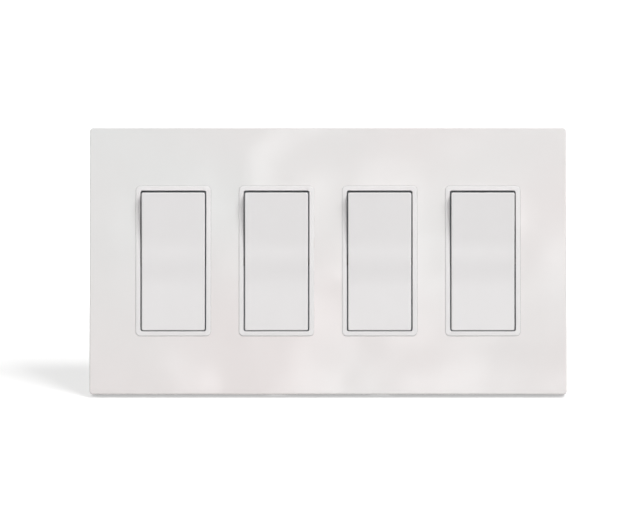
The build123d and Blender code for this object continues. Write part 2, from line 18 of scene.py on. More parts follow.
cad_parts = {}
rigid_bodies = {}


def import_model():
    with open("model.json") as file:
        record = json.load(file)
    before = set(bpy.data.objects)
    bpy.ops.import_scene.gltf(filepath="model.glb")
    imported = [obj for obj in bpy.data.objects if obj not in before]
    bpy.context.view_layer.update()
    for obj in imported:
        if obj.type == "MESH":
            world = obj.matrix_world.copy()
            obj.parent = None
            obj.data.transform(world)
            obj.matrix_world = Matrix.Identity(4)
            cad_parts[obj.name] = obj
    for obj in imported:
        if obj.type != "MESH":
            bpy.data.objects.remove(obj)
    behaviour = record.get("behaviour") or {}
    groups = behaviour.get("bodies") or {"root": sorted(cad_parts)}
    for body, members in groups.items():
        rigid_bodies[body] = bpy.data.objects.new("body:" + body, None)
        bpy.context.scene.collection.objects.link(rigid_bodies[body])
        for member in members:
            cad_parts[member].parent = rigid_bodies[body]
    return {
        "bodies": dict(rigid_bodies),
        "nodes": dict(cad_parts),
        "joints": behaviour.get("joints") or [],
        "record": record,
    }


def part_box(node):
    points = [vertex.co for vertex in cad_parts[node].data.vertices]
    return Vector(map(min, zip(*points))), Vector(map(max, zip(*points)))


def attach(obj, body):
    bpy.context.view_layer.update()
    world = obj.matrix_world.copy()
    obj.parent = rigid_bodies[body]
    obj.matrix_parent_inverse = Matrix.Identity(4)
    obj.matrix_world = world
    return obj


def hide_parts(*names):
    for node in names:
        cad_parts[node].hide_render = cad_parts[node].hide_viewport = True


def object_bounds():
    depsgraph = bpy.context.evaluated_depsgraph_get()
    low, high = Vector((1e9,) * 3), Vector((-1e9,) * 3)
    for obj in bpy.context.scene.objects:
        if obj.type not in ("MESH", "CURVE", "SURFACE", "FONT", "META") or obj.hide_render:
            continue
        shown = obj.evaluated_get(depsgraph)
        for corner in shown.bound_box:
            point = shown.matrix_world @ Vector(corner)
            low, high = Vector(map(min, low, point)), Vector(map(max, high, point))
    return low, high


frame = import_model()
PACKED_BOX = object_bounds()

LOG = logging.getLogger("switch_plate")
MM = 0.001
FULL_TURN = 2 * pi
ROOT = "wall_side"
GANG_COUNT = 4
# Y of the rockers' pins, and the lean of a rocker in its off position.
PIVOT_Y = -4.0
OFF_LEAN = radians(3.75)
# Corners of a packed copy nearer than this many metres are one, and faces turned less are one flat.
SAME_PLACE = 1e-6
SAME_FLAT = radians(0.5)
# Edges of a packed copy that turn more than this are rounded.
ROUND_FROM = radians(30)
# Edges of a piece that turn more than this are drawn sharp.
SHARP_FROM = radians(35)
# Widths of the rounds on sheet metal, on the thicker strap and on the mouldings.
SHEET_ROUND = 0.12
STRAP_ROUND = 0.16
HOUSING_ROUND = 0.35
PLUNGER_ROUND = 0.15
ADAPTER_ROUND = 0.2
# A cutter runs this far past what it cuts, and a rib this far into what it stands on.
CUT_PAST = 1.0
RUN_IN = 0.1
# Share of its side by which a block's plain edges are cut.
EDGE_SHARE = 0.02
# The two straight runs of a bar's round rim meet at this share of its size.
RIM_SHARE = 0.3
# A thread's ridge stands this share of its lead high.
RIDGE_SHARE = 0.38
# Straight runs in one turn of a thread, a coil and the round sections.
THREAD_STEPS = 20
CORE_SIDES = 24
COIL_STEPS = 40
WIRE_SIDES = 10
HEAD_SIDES = 36
BAR_SIDES = 32

Outline = list[tuple[float, float]]
Depth = Callable[[float], float]


def limits(node: str) -> tuple[Vector, Vector]:
    """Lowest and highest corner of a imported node, in millimetres."""
    low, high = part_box(node)
    return low / MM, high / MM


def middle(node: str) -> Vector:
    """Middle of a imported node's box, in millimetres."""
    low, high = limits(node)
    return (low + high) / 2


GANGS = {number: middle(f"housing_{number}").x for number in range(1, GANG_COUNT + 1)}
GANG_PITCH = GANGS[2] - GANGS[1]


def linear(code: str) -> tuple[float, float, float, float]:
    """Turns an sRGB hex colour into linear red, green, blue and alpha.

    Args:
        code: Six hex digits, such as "E4E2E0".

    Returns:
        The four values that a shader's colour socket takes.
    """
    values = [int(code[place : place + 2], 16) / 255 for place in (0, 2, 4)]
    curve = [v / 12.92 if v <= 0.04045 else ((v + 0.055) / 1.055) ** 2.4 for v in values]
    return curve[0], curve[1], curve[2], 1.0


def add_node(tree: Any, kind: str, settings: dict | None = None, inputs: dict | None = None) -> Any:
    """Adds one node with its settings, values and links.

    Args:
        tree: The node tree of a material, world or Geometry Nodes group.
        kind: Blender's name of the node.
        settings: Properties of the node.
        inputs: A value or an output socket for each input, by name or number.

    Returns:
        The new node.
    """
    node = tree.nodes.new(kind)
    for key, value in (settings or {}).items():
        setattr(node, key, value)
    for key, value in (inputs or {}).items():
        if isinstance(value, bpy.types.NodeSocket):
            tree.links.new(value, node.inputs[key])
        else:
            node.inputs[key].default_value = value
    return node


def new_material(name: str) -> tuple[Any, Any, Any]:
    """Makes an empty node material.

    Args:
        name: Plain name of the real material.

    Returns:
        The material, its node tree and the Surface socket of its output.
    """
    material = bpy.data.materials.new(name)
    material.use_nodes = True
    material.node_tree.nodes.clear()
    output = material.node_tree.nodes.new("ShaderNodeOutputMaterial")
    return material, material.node_tree, output.inputs["Surface"]


def per_metre(size_mm: float) -> float:
    """Noise scale whose features are about size_mm across."""
    return 1 / (size_mm * MM)


@dataclass(frozen=True)
class MouldedPlastic:
    """Injection-moulded thermoplastic: even colour, a polished or eroded skin and faint sink marks.

    The sink marks, tens of millimetres across, give the soft patches of gloss on a large moulding.
    The skin is far finer than a pixel, so it is drawn at skin_mm, coarse enough to show. Gaps and hollows
    narrower than a set reach get painted shade: the colour is darkened there, down to a set share of it,
    standing in for the shadow in them.
    """

    name: str
    colour: str
    shade: str
    roughness: float
    sink_mm: float = 42.0
    sink_depth_mm: float = 0.05
    skin_mm: float = 0.9
    skin_depth_mm: float = 0.002
    drift_mm: float = 110.0
    drift_range: tuple[float, float] = (0.35, 0.65)
    # Reach, darkest share, open share and samples of the painted shade in narrow gaps and hollows.
    painted_shade_mm: float = 1.3
    painted_shade_share: float = 0.08
    painted_shade_open: float = 0.5
    painted_shade_samples: int = 6
    handling_mm: float = 7.0
    handling_range: tuple[float, float] = (0.3, 0.7)
    gloss_spread: tuple[float, float] = (0.88, 1.16)
    refraction: float = 1.53

    def build(self) -> bpy.types.Material:
        """Builds the node material.

        Returns:
            The material.
        """
        material, tree, surface = new_material(self.name)
        place = add_node(tree, "ShaderNodeTexCoord").outputs["Object"]
        # Size, detail and roughness of each pattern.
        layers = (
            (self.drift_mm, 1.0, 0.5),
            (self.handling_mm, 5.0, 0.6),
            (self.sink_mm, 1.0, 0.5),
            (self.skin_mm, 3.0, 0.5),
        )
        noises = []
        for size, detail, rough in layers:
            pattern = {"Scale": per_metre(size), "Detail": detail, "Roughness": rough, "Vector": place}
            noises.append(add_node(tree, "ShaderNodeTexNoise", inputs=pattern).outputs[0])
        drift, handling, sink, skin = noises
        low, high = self.drift_range
        span = {"Value": drift, "From Min": low, "From Max": high}
        blend = add_node(tree, "ShaderNodeMapRange", inputs=span).outputs[0]
        tones = {0: blend, 6: linear(self.colour), 7: linear(self.shade)}
        tone = add_node(tree, "ShaderNodeMix", {"data_type": "RGBA"}, tones).outputs[2]
        # Painted shade: the colour is darkened where ambient occlusion finds a narrow gap or hollow,
        # standing in for the shadow in it.
        reach = {"Distance": self.painted_shade_mm * MM}
        near = add_node(tree, "ShaderNodeAmbientOcclusion", {"samples": self.painted_shade_samples}, reach)
        painted_shade_range = {"Value": near.outputs["AO"], "From Max": self.painted_shade_open, "To Min": self.painted_shade_share}
        painted_shade = add_node(tree, "ShaderNodeMapRange", inputs=painted_shade_range).outputs[0]
        painted_shade_tone = add_node(tree, "ShaderNodeVectorMath", {"operation": "SCALE"}, {0: tone, "Scale": painted_shade})
        low, high = self.handling_range
        polished, rubbed = (self.roughness * share for share in self.gloss_spread)
        touch = {"Value": handling, "From Min": low, "From Max": high}
        touch |= {"To Min": polished, "To Max": rubbed}
        gloss = add_node(tree, "ShaderNodeMapRange", inputs=touch).outputs[0]
        bump = {"Height": sink, "Distance": self.sink_depth_mm * MM, "Strength": 1.0}
        waves = add_node(tree, "ShaderNodeBump", inputs=bump).outputs[0]
        bump = {"Height": skin, "Distance": self.skin_depth_mm * MM, "Strength": 1.0, "Normal": waves}
        relief = add_node(tree, "ShaderNodeBump", inputs=bump).outputs[0]
        look = {"Base Color": painted_shade_tone.outputs[0], "Roughness": gloss, "Normal": relief}
        look["IOR"] = self.refraction
        shader = add_node(tree, "ShaderNodeBsdfPrincipled", inputs=look)
        tree.links.new(shader.outputs[0], surface)
        return material


@dataclass(frozen=True)
class WorkedMetal:
    """Sheet, wire or turned metal: rolling grain along one axis, a plating mottle and wide patches."""

    name: str
    colour: str
    shade: str
    roughness: float
    grain_mm: float = 0.25
    grain_ratio: float = 14.0
    grain_depth_mm: float = 0.0012
    mottle_mm: float = 2.2
    patch_ratio: float = 3.0
    mottle_gloss: float = 0.12
    grain_gloss: float = 0.1
    bright_gloss: float = 0.04

    def build(self) -> bpy.types.Material:
        """Builds the node material.

        Returns:
            The material.
        """
        material, tree, surface = new_material(self.name)
        place = add_node(tree, "ShaderNodeTexCoord").outputs["Object"]
        squeezed = {"Vector": place, "Scale": (1.0, 1.0, 1.0 / self.grain_ratio)}
        along = add_node(tree, "ShaderNodeMapping", inputs=squeezed).outputs[0]
        fine = {"Vector": along, "Scale": per_metre(self.grain_mm), "Detail": 3.0}
        grain = add_node(tree, "ShaderNodeTexNoise", inputs=fine).outputs[0]
        wide = {"Vector": place, "Scale": per_metre(self.mottle_mm * self.patch_ratio), "Detail": 4.0}
        patch = add_node(tree, "ShaderNodeTexNoise", inputs=wide).outputs[0]
        cells = {"Vector": place, "Scale": per_metre(self.mottle_mm)}
        mottle = add_node(tree, "ShaderNodeTexVoronoi", inputs=cells).outputs["Distance"]
        tones = {0: patch, 6: linear(self.colour), 7: linear(self.shade)}
        tone = add_node(tree, "ShaderNodeMix", {"data_type": "RGBA"}, tones).outputs[2]
        gloss = self.roughness - self.bright_gloss
        for pattern, share in ((mottle, self.mottle_gloss), (grain, self.grain_gloss)):
            weighed = {0: pattern, 1: share, 2: gloss}
            gloss = add_node(tree, "ShaderNodeMath", {"operation": "MULTIPLY_ADD"}, weighed).outputs[0]
        bump = {"Height": grain, "Distance": self.grain_depth_mm * MM, "Strength": 1.0}
        relief = add_node(tree, "ShaderNodeBump", inputs=bump).outputs[0]
        look = {"Base Color": tone, "Metallic": 1.0, "Roughness": gloss, "Normal": relief}
        shader = add_node(tree, "ShaderNodeBsdfPrincipled", inputs=look)
        tree.links.new(shader.outputs[0], surface)
        return material


class Finishes:
    """Every material of the plate, built once."""

    def __init__(self) -> None:
        """Builds the plastics and the metals."""
        # Polished polycarbonate in a large flat moulding: a soft gloss, broken up by wide sink marks.
        self.cover = MouldedPlastic(
            "polycarbonate_polished_cover", "E2E2E1", "E6E0DF", 0.12, sink_mm=40.0, sink_depth_mm=1.1
        ).build()
        # The same plastic in small stiff mouldings: hardly any sink, so an even satin gloss.
        self.switch = MouldedPlastic(
            "polycarbonate_polished_switch", "E6E4E4", "E4E2E2", 0.22, sink_mm=30.0, sink_depth_mm=0.02
        ).build()
        # ABS from an unpolished mould: duller and a little yellower than the cover.
        self.adapter = MouldedPlastic(
            "abs_moulded_adapter", "DAD8D2", "D5D3CD", 0.45, sink_mm=30.0, sink_depth_mm=0.04
        ).build()
        # Glass fibres near the skin of the nylon: matt, grainy and warm grey.
        self.housing = MouldedPlastic(
            "glass_filled_nylon_housing", "D2CFC4", "C9C6BB", 0.55,
            sink_mm=25.0, sink_depth_mm=0.05, skin_mm=0.5, skin_depth_mm=0.012,
        ).build()
        # Acetal: waxy and cream.
        self.plunger = MouldedPlastic(
            "acetal_plunger", "E4E0D2", "DBD7C8", 0.35, sink_mm=8.0, sink_depth_mm=0.01
        ).build()
        # Zinc plating on rolled sheet: cool grey, with the grain of the roll under it.
        self.strap = WorkedMetal("zinc_plated_steel_strap", "A9ADB1", "959AA0", 0.36).build()
        # The same plating on a turned screw: brighter, with short marks.
        self.screw = WorkedMetal(
            "zinc_plated_steel_screw", "C2C5C8", "AAB0B6", 0.28, grain_mm=0.2, grain_ratio=3.0
        ).build()
        # Bare drawn wire: dark and smooth along its length.
        self.spring = WorkedMetal(
            "spring_steel_wire", "8E9195", "7C8086", 0.3, grain_mm=0.15, grain_ratio=6.0
        ).build()
        # Rolled brass: warm yellow with a fine long grain.
        self.brass = WorkedMetal("rolled_brass", "CBA552", "B8903F", 0.3).build()
        # Silver contact faces: pale, with an even fine grain.
        self.silver = WorkedMetal(
            "silver_contact", "DCDCD8", "CDCDC6", 0.26, grain_mm=0.2, grain_ratio=1.0
        ).build()
        # Green plating, which marks a ground screw: deep green with a metal's gloss.
        self.ground = WorkedMetal(
            "green_plated_steel_screw", "2F7D4B", "256A3E", 0.34, grain_mm=0.2, grain_ratio=3.0
        ).build()


FINISH = Finishes()


def rounded(width: float, height: float, radius: float, steps: int = 8) -> Outline:
    """Rounded rectangle, anticlockwise as seen from the front.

    Args:
        width: Size along X.
        height: Size along Z.
        radius: Radius of its corners.
        steps: Straight runs in a corner.

    Returns:
        The outline's (x, z) points.
    """
    points: Outline = []
    for turn, (side_x, side_z) in enumerate(((1, 1), (-1, 1), (-1, -1), (1, -1))):
        for step in range(steps + 1):
            angle = radians(90 * (turn + step / steps))
            across = side_x * (width / 2 - radius) + radius * cos(angle)
            points.append((across, side_z * (height / 2 - radius) + radius * sin(angle)))
    return points


def circle(radius: float, sides: int) -> Outline:
    """Points of a circle about the origin."""
    angles = [FULL_TURN * n / sides for n in range(sides)]
    return [(radius * cos(a), radius * sin(a)) for a in angles]


class Skin:
    """A closed skin that is built ring by ring, in millimetres."""

    def __init__(self) -> None:
        """Starts an empty skin."""
        self.mesh = bmesh.new()

    def ring(self, outline: Outline, depth: float | Depth, x: float = 0.0, z: float = 0.0) -> list:
        """Lays an outline at a depth.

        Args:
            outline: Its (x, z) points.
            depth: The y of every point, or a rule that gives it from the point's height.
            x: Shift to the right.
            z: Shift up.

        Returns:
            The ring's vertices.
        """
        place = depth if callable(depth) else (lambda height: depth)
        return [self.mesh.verts.new((a + x, place(b), b + z)) for a, b in outline]

    def wall(self, rings: Sequence[list]) -> None:
        """Joins each ring to the next with quads.

        Args:
            rings: Rings of equal length.
        """
        for first, second in zip(rings, rings[1:]):
            count = len(first)
            for n in range(count):
                after = (n + 1) % count
                self.mesh.faces.new((first[n], first[after], second[after], second[n]))

    def cap(self, ring: Sequence) -> None:
        """Closes a flat ring with one face."""
        self.mesh.faces.new(ring)

    def cap_ridged(self, ring: Sequence, rows: int) -> None:
        """Closes a ring whose long sides have matching points, in strips that meet in a sharp ridge.

        Args:
            ring: The ring, which starts at mid height on the right.
            rows: Points on a long side between mid height and the flat end.
        """
        half = len(ring) // 2
        for run in (list(ring[: half + 1]), [*ring[half:], ring[0]]):
            for n in range(rows):
                self.mesh.faces.new((run[n], run[n + 1], run[half - n - 1], run[half - n]))
            self.mesh.faces.new(run[rows : half - rows + 1])
        self.mesh.edges.get((ring[0], ring[half])).smooth = False

    def fill(self, rings: Iterable[Sequence]) -> None:
        """Fills the flat area between an outer ring and the rings of its holes.

        Args:
            rings: The outer ring first.
        """
        edges = []
        for ring in rings:
            for first, second in zip(ring, list(ring[1:]) + [ring[0]]):
                edges.append(self.mesh.edges.get((first, second)) or self.mesh.edges.new((first, second)))
        bmesh.ops.triangle_fill(self.mesh, edges=edges, use_beauty=True)

    def block(self, x: Sequence[float], y: Sequence[float], z: Sequence[float], soft: float = 0.0) -> None:
        """Adds a closed box.

        Args:
            x: Its two limits along X.
            y: Its two limits along Y.
            z: Its two limits along Z.
            soft: Radius of its four edges along Y. Without one they are cut by EDGE_SHARE.
        """
        centre = ((x[0] + x[1]) / 2, (z[0] + z[1]) / 2)
        size = (abs(x[1] - x[0]), abs(z[1] - z[0]))
        outline = rounded(*size, soft, 3) if soft else rounded(*size, min(size) * EDGE_SHARE, 1)
        rings = [self.ring(outline, depth, *centre) for depth in sorted(y)]
        self.cap(rings[0])
        self.wall(rings)
        self.cap(rings[1])

    def prism(self, points: Sequence[tuple[float, float, float]], along: Sequence[float]) -> None:
        """Adds a closed prism.

        Args:
            points: The corners of one end.
            along: The way from that end to the other.
        """
        start = [self.mesh.verts.new(point) for point in points]
        end = [self.mesh.verts.new(Vector(point) + Vector(along)) for point in points]
        self.cap(start)
        self.wall([start, end])
        self.cap(end)

    def bar(self, radius: float, start: Sequence[float], end: Sequence[float], soft: float) -> None:
        """Adds a closed round bar.

        Args:
            radius: Its radius.
            start: Middle of one end.
            end: Middle of the other end.
            soft: Size of the rounds on its rims.
        """
        axis = Vector(end) - Vector(start)
        turn, length = axis.normalized().to_track_quat("Z", "Y").to_matrix(), axis.length
        profile = [(radius - soft, 0.0), (radius - soft * RIM_SHARE, soft * RIM_SHARE), (radius, soft)]
        profile += [(r, length - d) for r, d in reversed(profile)]
        rings = []
        for size, depth in profile:
            points = [Vector((x, y, depth)) for x, y in circle(size, BAR_SIDES)]
            rings.append([self.mesh.verts.new(turn @ p + Vector(start)) for p in points])
        self.cap(rings[0])
        self.wall(rings)
        self.cap(rings[-1])

    def finish(
        self, name: str, material: bpy.types.Material, placed: Matrix = Matrix()
    ) -> bpy.types.Object:
        """Turns the skin into an object in metres.

        Args:
            name: Name of the piece.
            material: Its finish.
            placed: Where it stands, in millimetres.

        Returns:
            The object, at the origin, with its place in its mesh.
        """
        bmesh.ops.recalc_face_normals(self.mesh, faces=self.mesh.faces)
        bmesh.ops.transform(self.mesh, matrix=Matrix.Scale(MM, 4) @ placed, verts=self.mesh.verts)
        data = bpy.data.meshes.new(name)
        self.mesh.to_mesh(data)
        self.mesh.free()
        return dress(data, name, material)


def dress(data: bpy.types.Mesh, name: str, material: bpy.types.Material) -> bpy.types.Object:
    """Makes an object of a mesh, smooth but for its sharp edges.

    Args:
        data: The mesh, in metres.
        name: Name of the piece.
        material: Its finish.

    Returns:
        The object, in the scene.
    """
    kept = [edge.index for edge in data.edges if edge.use_edge_sharp]
    data.shade_smooth()
    data.set_sharp_from_angle(angle=SHARP_FROM)
    for index in kept:
        data.edges[index].use_edge_sharp = True
    data.materials.clear()
    data.materials.append(material)
    piece = bpy.data.objects.new(name, data)
    bpy.context.scene.collection.objects.link(piece)
    return piece


def baked(
    source: bpy.types.Object, name: str, material: bpy.types.Material, placed: Matrix = Matrix()
) -> bpy.types.Object:
    """Turns an object with modifiers into a plain mesh object and removes it.

    Args:
        source: The object whose modifiers are applied.
        name: Name of the new piece.
        material: Its finish.
        placed: Where the new piece stands, in metres.

    Returns:
        The plain object.
    """
    graph = bpy.context.evaluated_depsgraph_get()
    data = bpy.data.meshes.new_from_object(source.evaluated_get(graph), depsgraph=graph)
    data.transform(placed)
    bpy.data.objects.remove(source)
    return dress(data, name, material)


def cut(piece: bpy.types.Object, tool: bpy.types.Object, name: str) -> bpy.types.Object:
    """Takes one closed mesh out of another and removes the tool.

    Args:
        piece: What is cut.
        tool: The closed form that comes out of it.
        name: Name of the result.

    Returns:
        The cut piece.
    """
    taken = piece.modifiers.new("cut", "BOOLEAN")
    taken.operation = "DIFFERENCE"
    taken.solver = "EXACT"
    taken.object = tool
    result = baked(piece, name, piece.data.materials[0])
    bpy.data.objects.remove(tool)
    return result


def round_edge(width: float, depth: float, front: float, steps: int = 8) -> list[tuple[float, float]]:
    """Quarter ellipse from a side wall to a front face.

    Args:
        width: How far it reaches in over the front face.
        depth: How far it reaches back along the side wall.
        front: The y of the front face.
        steps: Straight runs in the quarter.

    Returns:
        Its (inset, y) pairs, from the wall to the face.
    """
    angles = [radians(90 * step / steps) for step in range(steps + 1)]
    return [(width * (1 - cos(a)), front + depth * (1 - sin(a))) for a in angles]


def softened(node: str, name: str, material: bpy.types.Material, width: float) -> bpy.types.Object:
    """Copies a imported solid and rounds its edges, so that they catch the light.

    Args:
        node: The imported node.
        name: Name of the piece that stands for it.
        material: Its finish.
        width: Width of the rounding, in millimetres.

    Returns:
        The piece.
    """
    mesh = bmesh.new()
    mesh.from_mesh(frame["nodes"][node].data)
    bmesh.ops.remove_doubles(mesh, verts=mesh.verts, dist=SAME_PLACE)
    bmesh.ops.dissolve_limit(mesh, angle_limit=SAME_FLAT, verts=mesh.verts, edges=mesh.edges)
    data = bpy.data.meshes.new(name)
    mesh.to_mesh(data)
    mesh.free()
    source = dress(data, f"{name}_source", material)
    bevel = source.modifiers.new("round", "BEVEL")
    bevel.width = width * MM
    bevel.segments = 2
    bevel.limit_method = "ANGLE"
    bevel.angle_limit = ROUND_FROM
    return baked(source, name, material)


def settle(piece: bpy.types.Object, body: str, slot: str, *nodes: str) -> None:
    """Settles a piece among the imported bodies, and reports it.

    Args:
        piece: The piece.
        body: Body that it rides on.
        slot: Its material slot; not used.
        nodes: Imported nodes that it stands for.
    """
    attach(piece, body)
    if nodes:
        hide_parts(*nodes)
    LOG.info("%s: %d faces, on %s", piece.name, len(piece.data.polygons), body)


@dataclass
class Cover:
    """Clip-on front cover: a shallow tray with rounded edges, four openings, ribs and hooks."""

    side_wall: float = 2.0
    front_wall: float = 2.2
    corner: float = 1.5
    least_corner: float = 0.15
    inner_corner: float = 0.5
    edge: float = 0.6
    edge_margin: float = 0.2
    bezel_gap: float = 0.03
    bezel_corner: float = 2.0
    opening_break: float = 0.08
    opening_margin: float = 0.1
    rib_thickness: float = 1.2
    rib_length: float = 92.0
    hook_length: float = 9.0
    hook_reach: float = 0.9
    hook_depth: float = 0.9
    hook_gap: float = 0.1
    notch_width: float = 9.0
    notch_depth: float = 1.0

    def __post_init__(self) -> None:
        """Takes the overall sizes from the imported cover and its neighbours."""
        low, high = limits("cover_plate")
        self.width, _, self.height = high - low
        self.front = low.y
        self.inside = self.front + self.front_wall
        self.rib_back = limits("adapter_plate")[0].y
        self.strap_front = limits("strap_1")[0].y
        low, high = limits("bezel_1")
        self.opening = (high.x - low.x + 2 * self.bezel_gap, high.z - low.z + 2 * self.bezel_gap)

    def tray(self) -> Skin:
        """Builds the moulding without its ribs, hooks and notches.

        Returns:
            Its skin.
        """
        skin = Skin()
        profile = [(0.0, 0.0), (0.0, self.front + self.edge + self.edge_margin)]
        profile += round_edge(self.edge, self.edge, self.front)
        profile.append((self.edge + self.edge_margin, self.front))
        outer = []
        for inset, y in profile:
            corner = max(self.corner - inset, self.least_corner)
            outer.append(skin.ring(rounded(self.width - 2 * inset, self.height - 2 * inset, corner), y))
        skin.wall(outer)
        cavity = rounded(
            self.width - 2 * self.side_wall, self.height - 2 * self.side_wall, self.inner_corner
        )
        rim = skin.ring(cavity, 0.0)
        floor = skin.ring(cavity, self.inside)
        skin.wall([outer[0], rim, floor])
        wide, high = self.opening
        radius = self.bezel_corner + self.bezel_gap
        fronts, backs = [], []
        for x in GANGS.values():
            lip = [(-self.opening_break - self.opening_margin, self.front)]
            lip += [(i - self.opening_break, y) for i, y in self.opening_lip()]
            lip.append((0.0, self.inside))
            rings = [skin.ring(rounded(wide - 2 * i, high - 2 * i, radius - i), y, x) for i, y in lip]
            skin.wall(rings)
            fronts.append(rings[0])
            backs.append(rings[-1])
        skin.fill([outer[-1], *fronts])
        skin.fill([floor, *backs])
        return skin

    def opening_lip(self) -> list[tuple[float, float]]:
        """Draws the small round that breaks an opening's front edge.

        Returns:
            Its (inset, y) pairs.
        """
        size = self.opening_break
        angles = [radians(30 * step) for step in range(4)]
        return [(size * sin(a), self.front + size * (1 - cos(a))) for a in angles]

    def add_ribs(self, skin: Skin) -> None:
        """Adds the upright ribs that bear on the adapter.

        Args:
            skin: Skin that takes them.
        """
        half, reach = self.rib_thickness / 2, self.rib_length / 2
        for n in range(GANG_COUNT + 1):
            x = (n - GANG_COUNT / 2) * GANG_PITCH
            skin.block((x - half, x + half), (self.inside - RUN_IN, self.rib_back), (-reach, reach))

    def add_hooks(self, skin: Skin) -> None:
        """Adds the ramped hooks inside the top and bottom walls.

        Args:
            skin: Skin that takes them.
        """
        near = self.height / 2 - self.side_wall
        front = self.strap_front + self.hook_gap
        back = front + self.hook_depth
        root = near + RUN_IN
        section = [(front, root), (front, near - self.hook_reach), (back, near), (back, root)]
        for x in GANGS.values():
            for side in (-1, 1):
                points = [(x - self.hook_length / 2, y, side * z) for y, z in section]
                skin.prism(points, (self.hook_length, 0.0, 0.0))

    def notches(self) -> bpy.types.Object:
        """Makes the cutter for the two pry notches in the bottom wall.

        Returns:
            The cutter.
        """
        skin = Skin()
        half = self.notch_width / 2
        bottom = -self.height / 2
        walls = (bottom - CUT_PAST, bottom + self.side_wall + RUN_IN)
        for x in (GANGS[2], GANGS[3]):
            skin.block((x - half, x + half), (-self.notch_depth, CUT_PAST), walls)
        return skin.finish("notch_tool", FINISH.cover)

    def build(self) -> None:
        """Builds the cover in place of its solid."""
        tray = self.tray().finish("cover_tray", FINISH.cover)
        tray = cut(tray, self.notches(), "cover_moulding")
        inner = Skin()
        self.add_ribs(inner)
        self.add_hooks(inner)
        ribs = inner.finish("cover_ribs_and_hooks", FINISH.cover)
        settle(tray, ROOT, "cover_white", "cover_plate")
        settle(ribs, ROOT, "cover_white")


@dataclass
class Bezel:
    """Front frame of one switch: rounded outside, a lightly broken window, pin slots and barbed legs."""

    number: int
    corner: float = 2.0
    rim: float = 2.1
    window_corner: float = 1.0
    corner_steps: int = 10
    shoulder: float = 0.55
    drop: float = 0.28
    side_margin: float = 0.1
    face_margin: float = 0.08
    window_edge: float = 0.25
    slot_reach: float = 15.85
    slot_room: float = 1.55
    leg_thickness: float = 1.4
    leg_width: float = 5.0
    leg_offset: float = 20.0
    leg_root: float = 0.3
    barb_reach: float = 0.7
    barb_depth: float = 1.4

    def __post_init__(self) -> None:
        """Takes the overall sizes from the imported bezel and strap."""
        low, high = limits(f"bezel_{self.number}")
        self.width, _, self.height = high - low
        self.front, self.leg_end = low.y, high.y
        self.back = limits("strap_1")[0].y

    def frame(self) -> Skin:
        """Builds the frame as one ring-shaped skin.

        Returns:
            Its skin, about its own middle.
        """
        skin = Skin()
        wide, high, radius, steps = self.width, self.height, self.corner, self.corner_steps
        outside = [(0.0, self.back), (0.0, self.front + self.drop + self.side_margin)]
        outside += round_edge(self.shoulder, self.drop, self.front)
        outside.append((self.shoulder + self.face_margin, self.front))
        outer = [skin.ring(rounded(wide - 2 * i, high - 2 * i, radius - i, steps), y) for i, y in outside]
        wide, high, radius = wide - 2 * self.rim, high - 2 * self.rim, self.window_corner
        size = self.window_edge
        inside = [(size + self.face_margin, self.front)]
        inside += [(size * (1 - sin(a)), self.front + size * (1 - cos(a))) for a in self.quarter()]
        inside.append((0.0, self.back))
        inner = [skin.ring(rounded(wide + 2 * o, high + 2 * o, radius + o, steps), y) for o, y in inside]
        skin.wall(outer + inner + [outer[0]])
        return skin

    def quarter(self) -> list[float]:
        """Angles of a quarter turn in six steps."""
        return [radians(15 * step) for step in range(7)]

    def slots(self) -> bpy.types.Object:
        """Makes the cutter for the slots that hold the rocker's pins.

        Returns:
            The cutter.
        """
        reach, room = self.slot_reach, self.slot_room
        skin = Skin()
        skin.block((-reach, reach), (PIVOT_Y - room, self.back + CUT_PAST), (-room, room))
        return skin.finish("slot_tool", FINISH.switch)

    def add_legs(self, skin: Skin) -> None:
        """Adds the four legs with their barbs.

        Args:
            skin: Skin that takes them.
        """
        outside, end = self.width / 2, self.leg_end
        inside = outside - self.leg_thickness
        root, ramp = self.back - self.leg_root, end - self.barb_depth
        section = [(outside, root), (inside, root), (inside, ramp)]
        section += [(inside - self.barb_reach, ramp), (inside, end), (outside, end)]
        for side in (-1, 1):
            for z in (-self.leg_offset, self.leg_offset):
                points = [(side * x, y, z - self.leg_width / 2) for x, y in section]
                skin.prism(points, (0.0, 0.0, self.leg_width))

    def build(self) -> None:
        """Builds the bezel in place of its solid."""
        name = f"bezel_moulding_{self.number}"
        frame = self.frame().finish(f"{name}_frame", FINISH.switch)
        frame = cut(frame, self.slots(), name)
        frame.data.transform(Matrix.Translation((GANGS[self.number] * MM, 0, 0)))
        legs = Skin()
        self.add_legs(legs)
        placed = Matrix.Translation((GANGS[self.number], 0, 0))
        clips = legs.finish(f"bezel_legs_{self.number}", FINISH.switch, placed)
        settle(frame, ROOT, "switch_white", f"bezel_{self.number}")
        settle(clips, ROOT, "switch_white")


